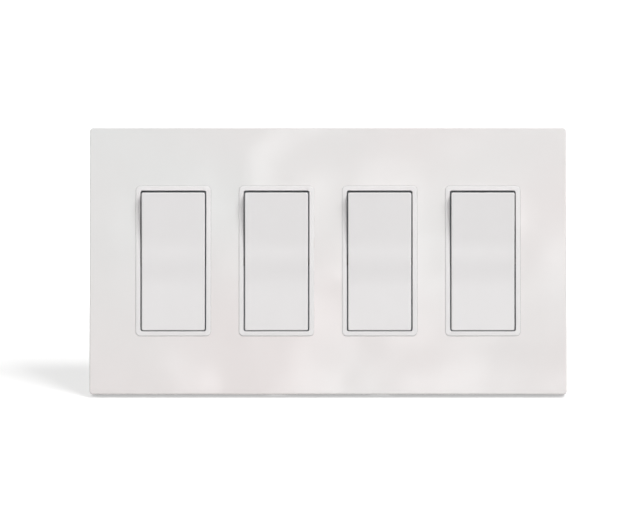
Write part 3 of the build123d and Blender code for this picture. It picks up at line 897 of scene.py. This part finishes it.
@dataclass
class Rocker:
    """Ridged paddle with its hollow, ribs, pins and bored stem, drawn about its pivot in mid travel."""

    number: int
    width: float = 28.2
    half: float = 30.75
    wall: float = 1.5
    corner: float = 0.8
    least_corner: float = 0.25
    corner_steps: int = 7
    edge: float = 0.5
    edge_steps: int = 7
    edge_margin: float = 0.1
    ridge_slope: float = radians(3.0)
    valley: float = 8.0
    valley_reach: float = 3.3
    valley_steps: int = 10
    setback: float = 4.4
    skirt: float = 0.39
    rib_thickness: float = 1.0
    rib_offset: float = 16.0
    pin_radius: float = 1.5
    pin_reach: float = 1.65
    pin_root: float = 0.3
    pin_edge: float = 0.15
    lug_margin: float = 0.9
    lug_gap: float = 0.01
    lug_corner: float = 0.4
    stem_half: float = 3.48
    stem_corner: float = 0.4
    stem_length: float = 9.5
    stem_floor: float = 0.6
    bore_half: float = 2.18
    bore_corner: float = 0.15
    square_steps: int = 3

    def face(self, depth: float) -> Depth:
        """Makes the rule for a surface under the front: a ridge, a rounded valley and a flat run.

        Args:
            depth: How far the surface lies behind the front.

        Returns:
            The rule, which gives y for a height.
        """
        outer, inner = -tan(OFF_LEAN), tan(self.ridge_slope)
        bottom = depth - self.setback / cos(OFF_LEAN) + outer * self.valley

        def surface(height: float) -> float:
            """Gives y for a height.

            Args:
                height: Height over the pins, up or down.

            Returns:
                The surface's y.
            """
            past = abs(height) - self.valley
            line = bottom + past * (outer if past > 0 else inner)
            blend = max(0.0, self.valley_reach - abs(past)) ** 2 / (4 * self.valley_reach)
            return line + (outer - inner) * blend

        return surface

    def rows(self) -> list[float]:
        """Lists the heights at which the paddle's long sides have points.

        Returns:
            The heights, from the ridge to the flat run.
        """
        start, length = self.valley - self.valley_reach, 2 * self.valley_reach
        steps = [start + length * n / self.valley_steps for n in range(self.valley_steps + 1)]
        margin = length / self.valley_steps
        return [start - margin, *steps, steps[-1] + margin]

    def paddle(self) -> Skin:
        """Builds the paddle's outer skin and its hollow.

        Returns:
            Its skin.
        """
        skin = Skin()
        rings = [skin.ring(self.outline(0.0), self.skirt)]
        for inset, depth in round_edge(self.edge, self.edge, 0.0, self.edge_steps):
            rings.append(skin.ring(self.outline(inset), self.face(depth)))
        rings.append(skin.ring(self.outline(self.edge + self.edge_margin), self.face(0.0)))
        skin.wall(rings)
        rows = len(self.rows())
        skin.cap_ridged(rings[-1], rows)
        mouth = skin.ring(self.outline(self.wall), self.skirt)
        floor = skin.ring(self.outline(self.wall), self.face(self.wall))
        skin.wall([rings[0], mouth, floor])
        skin.cap_ridged(floor, rows)
        return skin

    def outline(self, inset: float) -> Outline:
        """Draws the paddle's outline.

        Args:
            inset: How far it is taken in.

        Returns:
            Its points, from mid height on the right.
        """
        radius = max(self.corner - inset, self.least_corner)
        side, rows = self.width / 2 - inset, self.rows()
        upper = rounded(2 * side, 2 * (self.half - inset), radius, self.corner_steps)
        upper = upper[: 2 * (self.corner_steps + 1)]
        first = [(side, 0.0), *((side, z) for z in rows), *upper, *((-side, z) for z in reversed(rows))]
        return first + [(-x, -z) for x, z in first]

    def add_ribs(self, skin: Skin) -> None:
        """Adds the two cross ribs and the long rib between them.

        Args:
            skin: Skin that takes them.
        """
        thick, offset = self.rib_thickness, self.rib_offset
        long = (-self.setback, self.skirt - self.wall / 2)
        inner = self.width / 2 - self.wall / 2
        skin.block((-thick / 2, thick / 2), long, (-offset, offset))
        for z in (-offset, offset):
            skin.block((-inner, inner), long, (z - thick / 2, z + thick / 2))

    def add_pins(self, skin: Skin) -> None:
        """Adds the two pivot pins on their lugs.

        Args:
            skin: Skin that takes them.
        """
        room = self.pin_radius + self.lug_margin
        for side in (-1, 1):
            outer = side * self.width / 2
            sides = sorted((outer - side * self.wall, outer - side * self.lug_gap))
            skin.block(sides, (self.skirt - self.wall, room), (-room, room), self.lug_corner)
            root, tip = outer - side * self.pin_root, outer + side * self.pin_reach
            skin.bar(self.pin_radius, (root, 0, 0), (tip, 0, 0), self.pin_edge)

    def add_stem(self, skin: Skin) -> None:
        """Adds the square stem with its bore for the spring and plunger.

        Args:
            skin: Skin that takes it.
        """
        floor = -self.setback / cos(OFF_LEAN) + self.wall + self.stem_floor
        outline = rounded(2 * self.stem_half, 2 * self.stem_half, self.stem_corner, self.square_steps)
        hole = rounded(2 * self.bore_half, 2 * self.bore_half, self.bore_corner, self.square_steps)
        outer = [skin.ring(outline, y) for y in (-self.setback, self.stem_length)]
        inner = [skin.ring(hole, y) for y in (self.stem_length, floor)]
        skin.cap(outer[0])
        skin.wall([*outer, *inner])
        skin.cap(inner[-1])

    def place(self) -> Matrix:
        """Where the rocker stands when its switch is off."""
        return Matrix.Translation((GANGS[self.number], PIVOT_Y, 0)) @ Matrix.Rotation(OFF_LEAN, 4, "X")

    def build(self) -> None:
        """Builds the rocker in place of its solid."""
        paddle = self.paddle().finish(f"rocker_paddle_{self.number}", FINISH.switch, self.place())
        frame = Skin()
        self.add_ribs(frame)
        self.add_pins(frame)
        self.add_stem(frame)
        works = frame.finish(f"rocker_stem_and_pins_{self.number}", FINISH.switch, self.place())
        body = f"rocker_body_{self.number}"
        settle(paddle, body, "switch_white", f"rocker_{self.number}")
        settle(works, body, "switch_white")


class NodeTree:
    """A Geometry Nodes tree with named inputs, run on a host mesh and turned into a plain mesh."""

    def __init__(self, name: str, inputs: dict[str, str]) -> None:
        """Makes the tree.

        Args:
            name: Name of the tree.
            inputs: Kind of socket for each named input.
        """
        self.tree = bpy.data.node_groups.new(name, "GeometryNodeTree")
        face = self.tree.interface
        face.new_socket(name="Geometry", in_out="INPUT", socket_type="NodeSocketGeometry")
        for label, kind in inputs.items():
            face.new_socket(name=label, in_out="INPUT", socket_type=f"NodeSocket{kind}")
        face.new_socket(name="Geometry", in_out="OUTPUT", socket_type="NodeSocketGeometry")
        self.given = self.tree.nodes.new("NodeGroupInput").outputs
        self.result = self.tree.nodes.new("NodeGroupOutput").inputs[0]

    def add(self, kind: str, settings: dict | None = None, inputs: dict | None = None) -> Any:
        """Adds a node and returns its outputs."""
        return add_node(self.tree, kind, settings, inputs).outputs

    def close(self, geometry: Any) -> None:
        """Ends the tree in Realize Instances and Set Material.

        Args:
            geometry: Socket of what the tree has made.
        """
        real = self.add("GeometryNodeRealizeInstances", inputs={0: geometry})
        finish = {"Geometry": real[0], "Material": self.given["Material"]}
        done = self.add("GeometryNodeSetMaterial", inputs=finish)
        self.tree.links.new(done[0], self.result)

    def run(
        self, host: bpy.types.Mesh, name: str, values: dict[str, Any], placed: Matrix
    ) -> bpy.types.Object:
        """Runs the tree.

        Args:
            host: Mesh that goes in.
            name: Name of the piece.
            values: Value of each named input.
            placed: Where the piece stands, in metres.

        Returns:
            The piece as a plain mesh.
        """
        source = bpy.data.objects.new(f"{name}_host", host)
        bpy.context.scene.collection.objects.link(source)
        modifier = source.modifiers.new("rows", "NODES")
        modifier.node_group = self.tree
        for item in self.tree.interface.items_tree:
            if item.in_out == "INPUT" and item.name in values:
                modifier[item.identifier] = values[item.name]
        return baked(source, name, values["Material"], placed)


def thread(nodes: NodeTree) -> Any:
    """Adds a threaded shank that hangs down from its start, as a helical ridge on a core.

    Args:
        nodes: The tree, with inputs Radius, Lead, Length and Start.

    Returns:
        The shank's geometry socket.
    """
    given = nodes.given
    ridge = nodes.add("ShaderNodeMath", {"operation": "MULTIPLY"}, {0: given["Lead"], 1: RIDGE_SHARE})
    line = nodes.add("ShaderNodeMath", {"operation": "SUBTRACT"}, {0: given["Radius"], 1: ridge[0]})
    run = nodes.add("ShaderNodeMath", {"operation": "SUBTRACT"}, {0: given["Length"], 1: given["Lead"]})
    turns = nodes.add("ShaderNodeMath", {"operation": "DIVIDE"}, {0: run[0], 1: given["Lead"]})
    sizes = {"Rotations": turns[0], "Start Radius": line[0], "End Radius": line[0], "Height": run[0]}
    helix = nodes.add("GeometryNodeCurveSpiral", inputs={"Resolution": THREAD_STEPS, **sizes})
    section = nodes.add("GeometryNodeCurvePrimitiveCircle", inputs={"Resolution": 4, "Radius": ridge[0]})
    swept = {"Curve": helix[0], "Profile Curve": section[0], "Fill Caps": True}
    crest = nodes.add("GeometryNodeCurveToMesh", inputs=swept)
    core = {"Vertices": CORE_SIDES, "Radius": line[0], "Depth": given["Length"]}
    shank = nodes.add("GeometryNodeMeshCylinder", inputs=core)
    half = nodes.add("ShaderNodeMath", {"operation": "MULTIPLY"}, {0: given["Length"], 1: 0.5})
    rise = nodes.add("ShaderNodeCombineXYZ", inputs={2: half[0]})
    raised = nodes.add("GeometryNodeTransform", inputs={"Geometry": shank[0], "Translation": rise[0]})
    both = add_node(nodes.tree, "GeometryNodeJoinGeometry")
    nodes.tree.links.new(crest[0], both.inputs[0])
    nodes.tree.links.new(raised[0], both.inputs[0])
    span = nodes.add("ShaderNodeMath", {"operation": "ADD"}, {0: given["Start"], 1: given["Length"]})
    foot = nodes.add("ShaderNodeMath", {"operation": "SUBTRACT"}, {0: 0.0, 1: span[0]})
    place = nodes.add("ShaderNodeCombineXYZ", inputs={2: foot[0]})
    hung = {"Geometry": both.outputs[0], "Translation": place[0]}
    return nodes.add("GeometryNodeTransform", inputs=hung)[0]


def screw_rows() -> NodeTree:
    """Makes the tree that threads a screw's head and sets the screw out in rows, each turned by chance.

    Returns:
        The tree.
    """
    kinds = {name: "Float" for name in ("Radius", "Lead", "Length", "Start", "Column Pitch", "Row Pitch")}
    kinds |= {"Columns": "Int", "Rows": "Int", "Seed": "Int", "Facing": "Vector", "Material": "Material"}
    nodes = NodeTree("screw_rows", kinds)
    given = nodes.given
    shank = thread(nodes)
    screw = add_node(nodes.tree, "GeometryNodeJoinGeometry")
    nodes.tree.links.new(given["Geometry"], screw.inputs[0])
    nodes.tree.links.new(shank, screw.inputs[0])
    layout = {}
    for count, pitch, axis in (("Columns", "Column Pitch", "X"), ("Rows", "Row Pitch", "Y")):
        steps = nodes.add("ShaderNodeMath", {"operation": "SUBTRACT"}, {0: given[count], 1: 1.0})
        span = nodes.add("ShaderNodeMath", {"operation": "MULTIPLY"}, {0: steps[0], 1: given[pitch]})
        layout |= {f"Size {axis}": span[0], f"Vertices {axis}": given[count]}
    grid = nodes.add("GeometryNodeMeshGrid", inputs=layout)
    upright = nodes.add("GeometryNodeTransform", inputs={"Geometry": grid[0], "Rotation": (pi / 2, 0, 0)})
    chance = nodes.add(
        "FunctionNodeRandomValue", {"data_type": "FLOAT"}, {2: 0.0, 3: FULL_TURN, "Seed": given["Seed"]}
    )
    spin = nodes.add("ShaderNodeCombineXYZ", inputs={2: chance[1]})
    facing = nodes.add("FunctionNodeEulerToRotation", inputs={0: given["Facing"]})
    own = nodes.add("FunctionNodeEulerToRotation", inputs={0: spin[0]})
    local = {"rotation_space": "LOCAL"}
    turned = nodes.add("FunctionNodeRotateRotation", local, {0: facing[0], 1: own[0]})
    set_out = {"Points": upright[0], "Instance": screw.outputs[0], "Rotation": turned[0]}
    nodes.close(nodes.add("GeometryNodeInstanceOnPoints", inputs=set_out)[0])
    return nodes


def coil() -> NodeTree:
    """Makes the tree that sweeps a round wire along a helix.

    Returns:
        The tree.
    """
    kinds = {name: "Float" for name in ("Radius", "Wire", "Turns", "Height")} | {"Material": "Material"}
    nodes = NodeTree("coil", kinds)
    given = nodes.given
    sizes = {"Start Radius": given["Radius"], "End Radius": given["Radius"], "Height": given["Height"]}
    sizes |= {"Resolution": COIL_STEPS, "Rotations": given["Turns"]}
    helix = nodes.add("GeometryNodeCurveSpiral", inputs=sizes)
    round_wire = {"Resolution": WIRE_SIDES, "Radius": given["Wire"]}
    section = nodes.add("GeometryNodeCurvePrimitiveCircle", inputs=round_wire)
    wire = {"Curve": helix[0], "Profile Curve": section[0], "Fill Caps": True}
    nodes.close(nodes.add("GeometryNodeCurveToMesh", inputs=wire)[0])
    return nodes


class Drive(Enum):
    """What a screw's head takes: a blade, a cross point, or either."""

    BLADE = "blade"
    CROSS = "cross"
    EITHER = "either"


class Facing(Enum):
    """Which way a screw's head faces, as the turns that take Z there."""

    FRONT = (pi / 2, 0.0, 0.0)
    RIGHT = (0.0, pi / 2, 0.0)
    LEFT = (0.0, -pi / 2, 0.0)


@dataclass(frozen=True)
class Shank:
    """Threaded shank: its radius, the lead of its thread, its length, and its start under the head."""

    radius: float
    lead: float
    length: float
    start: float = 0.0


@dataclass(frozen=True)
class ScrewHead:
    """Turned head of a screw with its recess.

    The underside of a round head is at z = 0, and so is the top of a flat one. The neck is a radius
    and a length. The dome is given in shares of the radius and of the height. The two arms of a cross
    differ a little in depth and turn, so that no two faces of their cutters are one.
    """

    radius: float
    height: float
    drive: Drive
    flat: bool = False
    neck: tuple[float, float] | None = None
    rim: float = 0.15
    rim_share: float = 0.5
    dome: tuple[tuple[float, float], ...] = ((0.96, 0.7), (0.86, 0.87), (0.7, 0.96), (0.45, 1.0))
    flat_rim: float = 0.1
    blade: float = 0.45
    cross: float = 0.42
    cross_reach: float = 0.55
    cross_depths: tuple[float, float] = (1.25, 1.3)
    cross_turns: tuple[float, float] = (0.001, pi / 2)
    past: float = 0.3
    blade_past: float = 0.5
    deep_share: float = 0.45

    def profile(self) -> Outline:
        """Draws the section of the head.

        Returns:
            Its (radius, z) points, from the underside to the top.
        """
        size, height = self.radius, self.height
        if self.flat:
            return [(size / 2, -height), (size, -self.flat_rim), (size, 0.0)]
        neck = [(self.neck[0], -self.neck[1]), (self.neck[0], 0.0)] if self.neck else []
        rim = [(size - self.rim, 0.0), (size, self.rim), (size, height * self.rim_share)]
        return neck + rim + [(size * r, height * h) for r, h in self.dome]

    def recess(self) -> list[tuple[float, float, float, float]]:
        """Lists the slots of the recess.

        Returns:
            The reach, half width, floor and turn of each.
        """
        top = 0.0 if self.flat else self.height
        deep = self.height * self.deep_share + (self.past if self.flat else 0.0)
        blade = [(self.radius + self.blade_past, self.blade, top - deep, 0.0)]
        reach = self.radius * self.cross_reach
        cross = [
            (reach, self.cross, top - deep * share, turn)
            for share, turn in zip(self.cross_depths, self.cross_turns)
        ]
        return {Drive.BLADE: blade, Drive.CROSS: cross, Drive.EITHER: blade + cross}[self.drive]

    def mesh(self) -> bpy.types.Mesh:
        """Builds the head with its recess, and its neck where it has one.

        Returns:
            Its mesh, in metres.
        """
        skin = Skin()
        lathe(skin, self.profile())
        head = skin.finish("head_blank", FINISH.screw)
        for reach, half, floor, turn in self.recess():
            tool = Skin()
            slot(tool, reach, half, floor, self.height + self.past, turn)
            head = cut(head, tool.finish("drive_tool", FINISH.screw), "head")
        data = head.data.copy()
        bpy.data.objects.remove(head)
        return data


def lathe(skin: Skin, profile: Outline) -> None:
    """Adds a closed turned form about Z.

    Args:
        skin: Skin that takes it.
        profile: Its (radius, z) points.
    """
    rings = []
    for radius, height in profile:
        rings.append([skin.mesh.verts.new((x, y, height)) for x, y in circle(radius, HEAD_SIDES)])
    skin.cap(rings[0])
    skin.wall(rings)
    skin.cap(rings[-1])


def slot(skin: Skin, reach: float, half: float, low: float, high: float, turn: float) -> None:
    """Adds a cutter for one slot of a recess.

    Args:
        skin: Skin that takes it.
        reach: Its length to each side of the middle.
        half: Half its width.
        low: Its floor.
        high: Its top.
        turn: Its turn about Z.
    """
    corners = [(-reach, -half), (reach, -half), (reach, half), (-reach, half)]
    around = Matrix.Rotation(turn, 3, "Z")
    points = [tuple(around @ Vector((x, y, low))) for x, y in corners]
    skin.prism(points, (0.0, 0.0, high - low))


@dataclass(frozen=True)
class ScrewRow:
    """One kind of screw, set out in rows with a screw for each switch."""

    name: str
    head: ScrewHead
    shank: Shank
    centre: tuple[float, float, float]
    facing: Facing
    seed: int
    material: bpy.types.Material
    slot: str
    rows: int = 2
    row_pitch: float = 1.0
    nodes: tuple[str, ...] = ()

    def build(self, tree: NodeTree) -> None:
        """Builds the rows of this kind of screw.

        Args:
            tree: The tree that sets screws out in rows.
        """
        shank = self.shank
        values = {"Radius": shank.radius * MM, "Lead": shank.lead * MM}
        values |= {"Length": shank.length * MM, "Start": shank.start * MM}
        values |= {"Columns": GANG_COUNT, "Column Pitch": GANG_PITCH * MM}
        values |= {"Rows": self.rows, "Row Pitch": self.row_pitch * MM}
        values |= {"Facing": self.facing.value, "Seed": self.seed, "Material": self.material}
        placed = Matrix.Translation(Vector(self.centre) * MM)
        piece = tree.run(self.head.mesh(), self.name, values, placed)
        settle(piece, ROOT, self.slot, *self.nodes)


@dataclass
class Screws:
    """All screws of the plate.

    A spacing is between the two screws of one switch. terminal_middle is the z of the terminal
    screws' middle, and ground_place is the y and z of the ground screws.
    """

    box_spacing: float = 83.34
    adapter_spacing: float = 96.84
    adapter_sink: float = 0.02
    terminal_spacing: float = 28.7
    terminal_middle: float = -5.15
    ground_place: tuple[float, float] = (4.9, -37.5)

    def __post_init__(self) -> None:
        """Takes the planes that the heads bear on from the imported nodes."""
        strap, terminal, adapter = limits("strap_1"), limits("line_terminal_1"), limits("adapter_plate")
        self.strap_front = strap[0].y
        self.adapter_front = adapter[0].y
        self.tab = strap[0].x - GANGS[1]
        self.plate = terminal[1].x - GANGS[1]
        self.terminal_depth = (terminal[0].y + terminal[1].y) / 2

    def kinds(self) -> list[ScrewRow]:
        """Describes every kind of screw.

        Returns:
            The rows of each kind, with its head, its shank and its places.
        """
        pan = ScrewHead(radius=3.05, height=1.85, drive=Drive.EITHER, neck=(1.4, 1.25))
        flat = ScrewHead(radius=3.0, height=1.6, drive=Drive.CROSS, flat=True)
        side = ScrewHead(radius=3.3, height=1.7, drive=Drive.EITHER)
        ground = ScrewHead(radius=3.2, height=1.5, drive=Drive.BLADE)
        return [
            ScrewRow(
                name="box_screws_threaded",
                head=pan,
                shank=Shank(radius=1.75, lead=0.8, length=22.0, start=1.2),
                row_pitch=self.box_spacing,
                centre=(0.0, self.strap_front, 0.0),
                facing=Facing.FRONT,
                seed=5,
                material=FINISH.screw,
                slot="screw_steel",
                nodes=("box_screws",),
            ),
            ScrewRow(
                name="adapter_screws",
                head=flat,
                shank=Shank(radius=1.45, lead=0.6, length=7.6, start=0.4),
                row_pitch=self.adapter_spacing,
                centre=(0.0, self.adapter_front - self.adapter_sink, 0.0),
                facing=Facing.FRONT,
                seed=8,
                material=FINISH.screw,
                slot="screw_steel",
            ),
            ScrewRow(
                name="terminal_screws",
                head=side,
                shank=Shank(radius=1.7, lead=0.7, length=0.9),
                row_pitch=self.terminal_spacing,
                centre=(self.plate, self.terminal_depth, self.terminal_middle),
                facing=Facing.RIGHT,
                seed=3,
                material=FINISH.brass,
                slot="terminal_brass",
            ),
            ScrewRow(
                name="ground_screws",
                head=ground,
                shank=Shank(radius=1.7, lead=0.7, length=5.2),
                rows=1,
                centre=(self.tab, *self.ground_place),
                facing=Facing.LEFT,
                seed=6,
                material=FINISH.ground,
                slot="screw_steel",
            ),
        ]

    def build(self) -> None:
        """Builds every kind of screw."""
        tree = screw_rows()
        for kind in self.kinds():
            kind.build(tree)


@dataclass
class Works:
    """What lies behind a bezel: strap, housing, terminals, see-saw arm, contacts, plunger and spring.

    coil_span is the y of the coil's two ends in the rocker's frame, from its pins.
    """

    number: int
    coil_span: tuple[float, float] = (-2.0, 4.72)
    coil_radius: float = 1.72
    coil_turns: float = 4.5
    wire: float = 0.24

    def soften(
        self, node: str, form: str, material: bpy.types.Material, width: float, body: str, kind: str
    ) -> None:
        """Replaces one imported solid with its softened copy.

        Args:
            node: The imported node, without its number.
            form: What the piece is, added to its name.
            material: Its finish.
            width: Width of its rounded edges, in millimetres.
            body: Body that it rides on.
            kind: Its material slot.
        """
        packed = f"{node}_{self.number}"
        piece = softened(packed, f"{node}_{form}_{self.number}", material, width)
        settle(piece, body, kind, packed)

    def build_fixed(self) -> None:
        """Builds what stays with the wall."""
        self.soften("strap", "sheet", FINISH.strap, STRAP_ROUND, ROOT, "strap_steel")
        self.soften("housing", "moulding", FINISH.housing, HOUSING_ROUND, ROOT, "housing_plastic")
        self.soften("line_terminal", "sheet", FINISH.brass, SHEET_ROUND, ROOT, "terminal_brass")
        self.soften("load_terminal", "sheet", FINISH.brass, SHEET_ROUND, ROOT, "terminal_brass")
        self.soften("fixed_contact", "pad", FINISH.silver, SHEET_ROUND, ROOT, "contact_silver")

    def build_moving(self) -> None:
        """Builds what moves with the rocker."""
        arm, plunger = f"arm_body_{self.number}", f"plunger_body_{self.number}"
        self.soften("contact_arm", "sheet", FINISH.brass, SHEET_ROUND, arm, "terminal_brass")
        self.soften("arm_contact", "pad", FINISH.silver, SHEET_ROUND, arm, "contact_silver")
        self.soften("plunger", "moulding", FINISH.plunger, PLUNGER_ROUND, plunger, "plunger_nylon")

    def build_spring(self, tree: NodeTree) -> None:
        """Builds the coil spring, which the plunger squeezes against the bore's floor.

        Args:
            tree: The tree that winds a coil.
        """
        start, end = self.coil_span
        values = {"Radius": self.coil_radius * MM, "Wire": self.wire * MM, "Turns": self.coil_turns}
        values |= {"Height": (end - start) * MM, "Material": FINISH.spring}
        pins = Matrix.Translation(Vector((GANGS[self.number], PIVOT_Y, 0)) * MM)
        lean = Matrix.Rotation(OFF_LEAN, 4, "X")
        to_back = Matrix.Rotation(-pi / 2, 4, "X")
        placed = pins @ lean @ Matrix.Translation((0, start * MM, 0)) @ to_back
        name = f"spring_coil_{self.number}"
        piece = tree.run(bpy.data.meshes.new(name), name, values, placed)
        settle(piece, f"rocker_body_{self.number}", "spring_steel", f"spring_{self.number}")


@dataclass(frozen=True)
class Lamp:
    """Soft square lamp, aimed at the middle of the plate, in metres and watts."""

    name: str
    place: tuple[float, float, float]
    size: float
    power: float

    def hang(self) -> None:
        """Hangs the lamp."""
        data = bpy.data.lights.new(self.name, "AREA")
        data.shape = "SQUARE"
        data.size = self.size
        data.energy = self.power
        holder = bpy.data.objects.new(self.name, data)
        holder.location = self.place
        holder.rotation_euler = (-Vector(self.place)).to_track_quat("-Z", "Y").to_euler()
        bpy.context.scene.collection.objects.link(holder)


@dataclass
class Studio:
    """Pale floor that the plate stands on, soft light from the upper right, and the photograph's camera.

    The distances of the camera and of the floor's fade are in metres, and the other sizes in
    millimetres. rise is the camera's angle over its aim, which lies at the depth focus.
    off_centre_px is how far the plate's middle stands from the picture's, in its pixels.
    """

    distance: float = 2.4
    rise: float = radians(-2.85)
    floor_tilt: float = radians(12)
    floor_half: float = 4000.0
    floor_clear: tuple[float, float] = (0.20, 0.42)
    floor_squeeze: float = 1.25
    floor_lift: float = 0.48
    floor_colour: str = "D0D0D0"
    fibre_mm: float = 1.5
    fibre_depth_mm: float = 0.02
    sensor_mm: float = 36.0
    pixels_per_mm: float = 2.2395
    width_px: int = 640
    off_centre_px: tuple[float, float] = (8.05, 0.9)
    focus: float = -6.4
    ambient: float = 0.25
    lamps: tuple[Lamp, ...] = (
        Lamp("key", (2.3, -3.06, 3.53), 2.4, 236.0),
        Lamp("fill", (-2.6, -3.3, 0.8), 2.6, 19.0),
        Lamp("front", (0.1, -3.6, 0.15), 0.25, 0.6),
        Lamp("back", (-2.2, 3.3, 2.4), 2.6, 90.0),
    )

    def backdrop_share(self, tree: Any) -> Any:
        """Adds the test for rays that see the background directly, in a reflection or through glass.

        Args:
            tree: Node tree that takes it.

        Returns:
            A socket that is 1 for those rays and 0 for the rest.
        """
        path = add_node(tree, "ShaderNodeLightPath").outputs
        total = path["Is Camera Ray"]
        for name in ("Is Glossy Ray", "Is Transmission Ray"):
            pair = {0: total, 1: path[name]}
            total = add_node(tree, "ShaderNodeMath", {"operation": "MAXIMUM"}, pair).outputs[0]
        return total

    def light_world(self) -> None:
        """Makes the world white as a background and dimmer as a light."""
        world = bpy.data.worlds.new("studio")
        bpy.context.scene.world = world
        world.use_nodes = True
        tree = world.node_tree
        tree.nodes.clear()
        share = self.backdrop_share(tree)
        strength = add_node(
            tree, "ShaderNodeMapRange", inputs={"Value": share, "To Min": self.ambient, "To Max": 1.0}
        )
        white = {"Color": linear("FFFFFF"), "Strength": strength.outputs[0]}
        background = add_node(tree, "ShaderNodeBackground", inputs=white)
        output = tree.nodes.new("ShaderNodeOutputWorld")
        tree.links.new(background.outputs[0], output.inputs[0])

    def floor_material(self) -> bpy.types.Material:
        """Builds matt white paper that fades into the backdrop and hides nothing from a camera below it.

        Returns:
            The material.
        """
        material, tree, surface = new_material("white_paper_sweep")
        place = add_node(tree, "ShaderNodeTexCoord").outputs["Object"]
        # Paper fibres, drawn coarser than they are so that they show.
        fibre = add_node(
            tree, "ShaderNodeTexNoise", inputs={"Vector": place, "Scale": per_metre(self.fibre_mm)}
        )
        bumps = {"Height": fibre.outputs[0], "Distance": self.fibre_depth_mm * MM, "Strength": 1.0}
        relief = add_node(tree, "ShaderNodeBump", inputs=bumps)
        matt = {"Base Color": linear(self.floor_colour), "Roughness": 0.9, "Specular IOR Level": 0.1}
        paper = add_node(
            tree, "ShaderNodeBsdfPrincipled", inputs={**matt, "Normal": relief.outputs[0]}
        )
        squeezed = {"Vector": place, "Scale": (self.floor_squeeze, 1.0, 1.0)}
        near = add_node(tree, "ShaderNodeMapping", inputs=squeezed)
        away = add_node(tree, "ShaderNodeVectorMath", {"operation": "LENGTH"}, {0: near.outputs[0]})
        start, end = self.floor_clear
        span = {"Value": away.outputs["Value"], "From Min": start, "From Max": end}
        span["To Min"] = self.floor_lift
        fade = add_node(tree, "ShaderNodeMapRange", {"interpolation_type": "SMOOTHSTEP"}, span)
        share = self.backdrop_share(tree)
        faded = {0: share, 1: fade.outputs[0]}
        strength = add_node(tree, "ShaderNodeMath", {"operation": "MULTIPLY"}, faded)
        lift = add_node(tree, "ShaderNodeEmission", inputs={"Strength": strength.outputs[0]})
        both = add_node(tree, "ShaderNodeAddShader", inputs={0: paper.outputs[0], 1: lift.outputs[0]})
        below = add_node(tree, "ShaderNodeNewGeometry").outputs["Backfacing"]
        seen = add_node(tree, "ShaderNodeLightPath").outputs["Is Camera Ray"]
        gone = add_node(tree, "ShaderNodeMath", {"operation": "MULTIPLY"}, {0: below, 1: seen})
        clear = add_node(tree, "ShaderNodeBsdfTransparent")
        paths = {0: gone.outputs[0], 1: both.outputs[0], 2: clear.outputs[0]}
        tree.links.new(add_node(tree, "ShaderNodeMixShader", inputs=paths).outputs[0], surface)
        return material

    def lay_floor(self) -> None:
        """Lays the floor under the bottom edge, tipped as the photograph's table is to the plate."""
        skin = Skin()
        half = self.floor_half
        skin.cap(skin.ring([(-half, -half), (half, -half), (half, half), (-half, half)], 0.0))
        bottom = PACKED_BOX[0][2] / MM
        placed = Matrix.Translation((0, 0, bottom)) @ Matrix.Rotation(-pi / 2 + self.floor_tilt, 4, "X")
        skin.finish("floor", self.floor_material(), placed)

    def set_camera(self) -> None:
        """Stands the camera so that the plate's outline falls where the photograph has it."""
        data = bpy.data.cameras.new("photograph")
        data.sensor_width = self.sensor_mm
        focal_px = self.pixels_per_mm * self.distance / MM
        data.lens = focal_px / self.width_px * data.sensor_width
        camera = bpy.data.objects.new("photograph", data)
        right, up = (pixels / self.pixels_per_mm * MM for pixels in self.off_centre_px)
        aim = Vector((-right, self.focus * MM, -up))
        back = Vector((0.0, -cos(self.rise), sin(self.rise)))
        camera.location = aim + back * self.distance
        camera.rotation_euler = (pi / 2 - self.rise, 0.0, 0.0)
        bpy.context.scene.collection.objects.link(camera)
        bpy.context.scene.camera = camera

    def build(self) -> None:
        """Sets up the whole studio."""
        self.light_world()
        self.lay_floor()
        for lamp in self.lamps:
            lamp.hang()
        self.set_camera()
        bpy.context.scene.view_settings.view_transform = "Standard"


def main() -> None:
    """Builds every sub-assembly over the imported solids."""
    Studio().build()
    Cover().build()
    adapter = softened("adapter_plate", "adapter_moulding", FINISH.adapter, ADAPTER_ROUND)
    settle(adapter, ROOT, "adapter_white", "adapter_plate")
    springs = coil()
    for number in GANGS:
        Bezel(number).build()
        Rocker(number).build()
        works = Works(number)
        works.build_fixed()
        works.build_moving()
        works.build_spring(springs)
    Screws().build()


if __name__ == "__main__":
    logging.basicConfig(level=logging.INFO, format="%(name)s %(message)s")
    main()
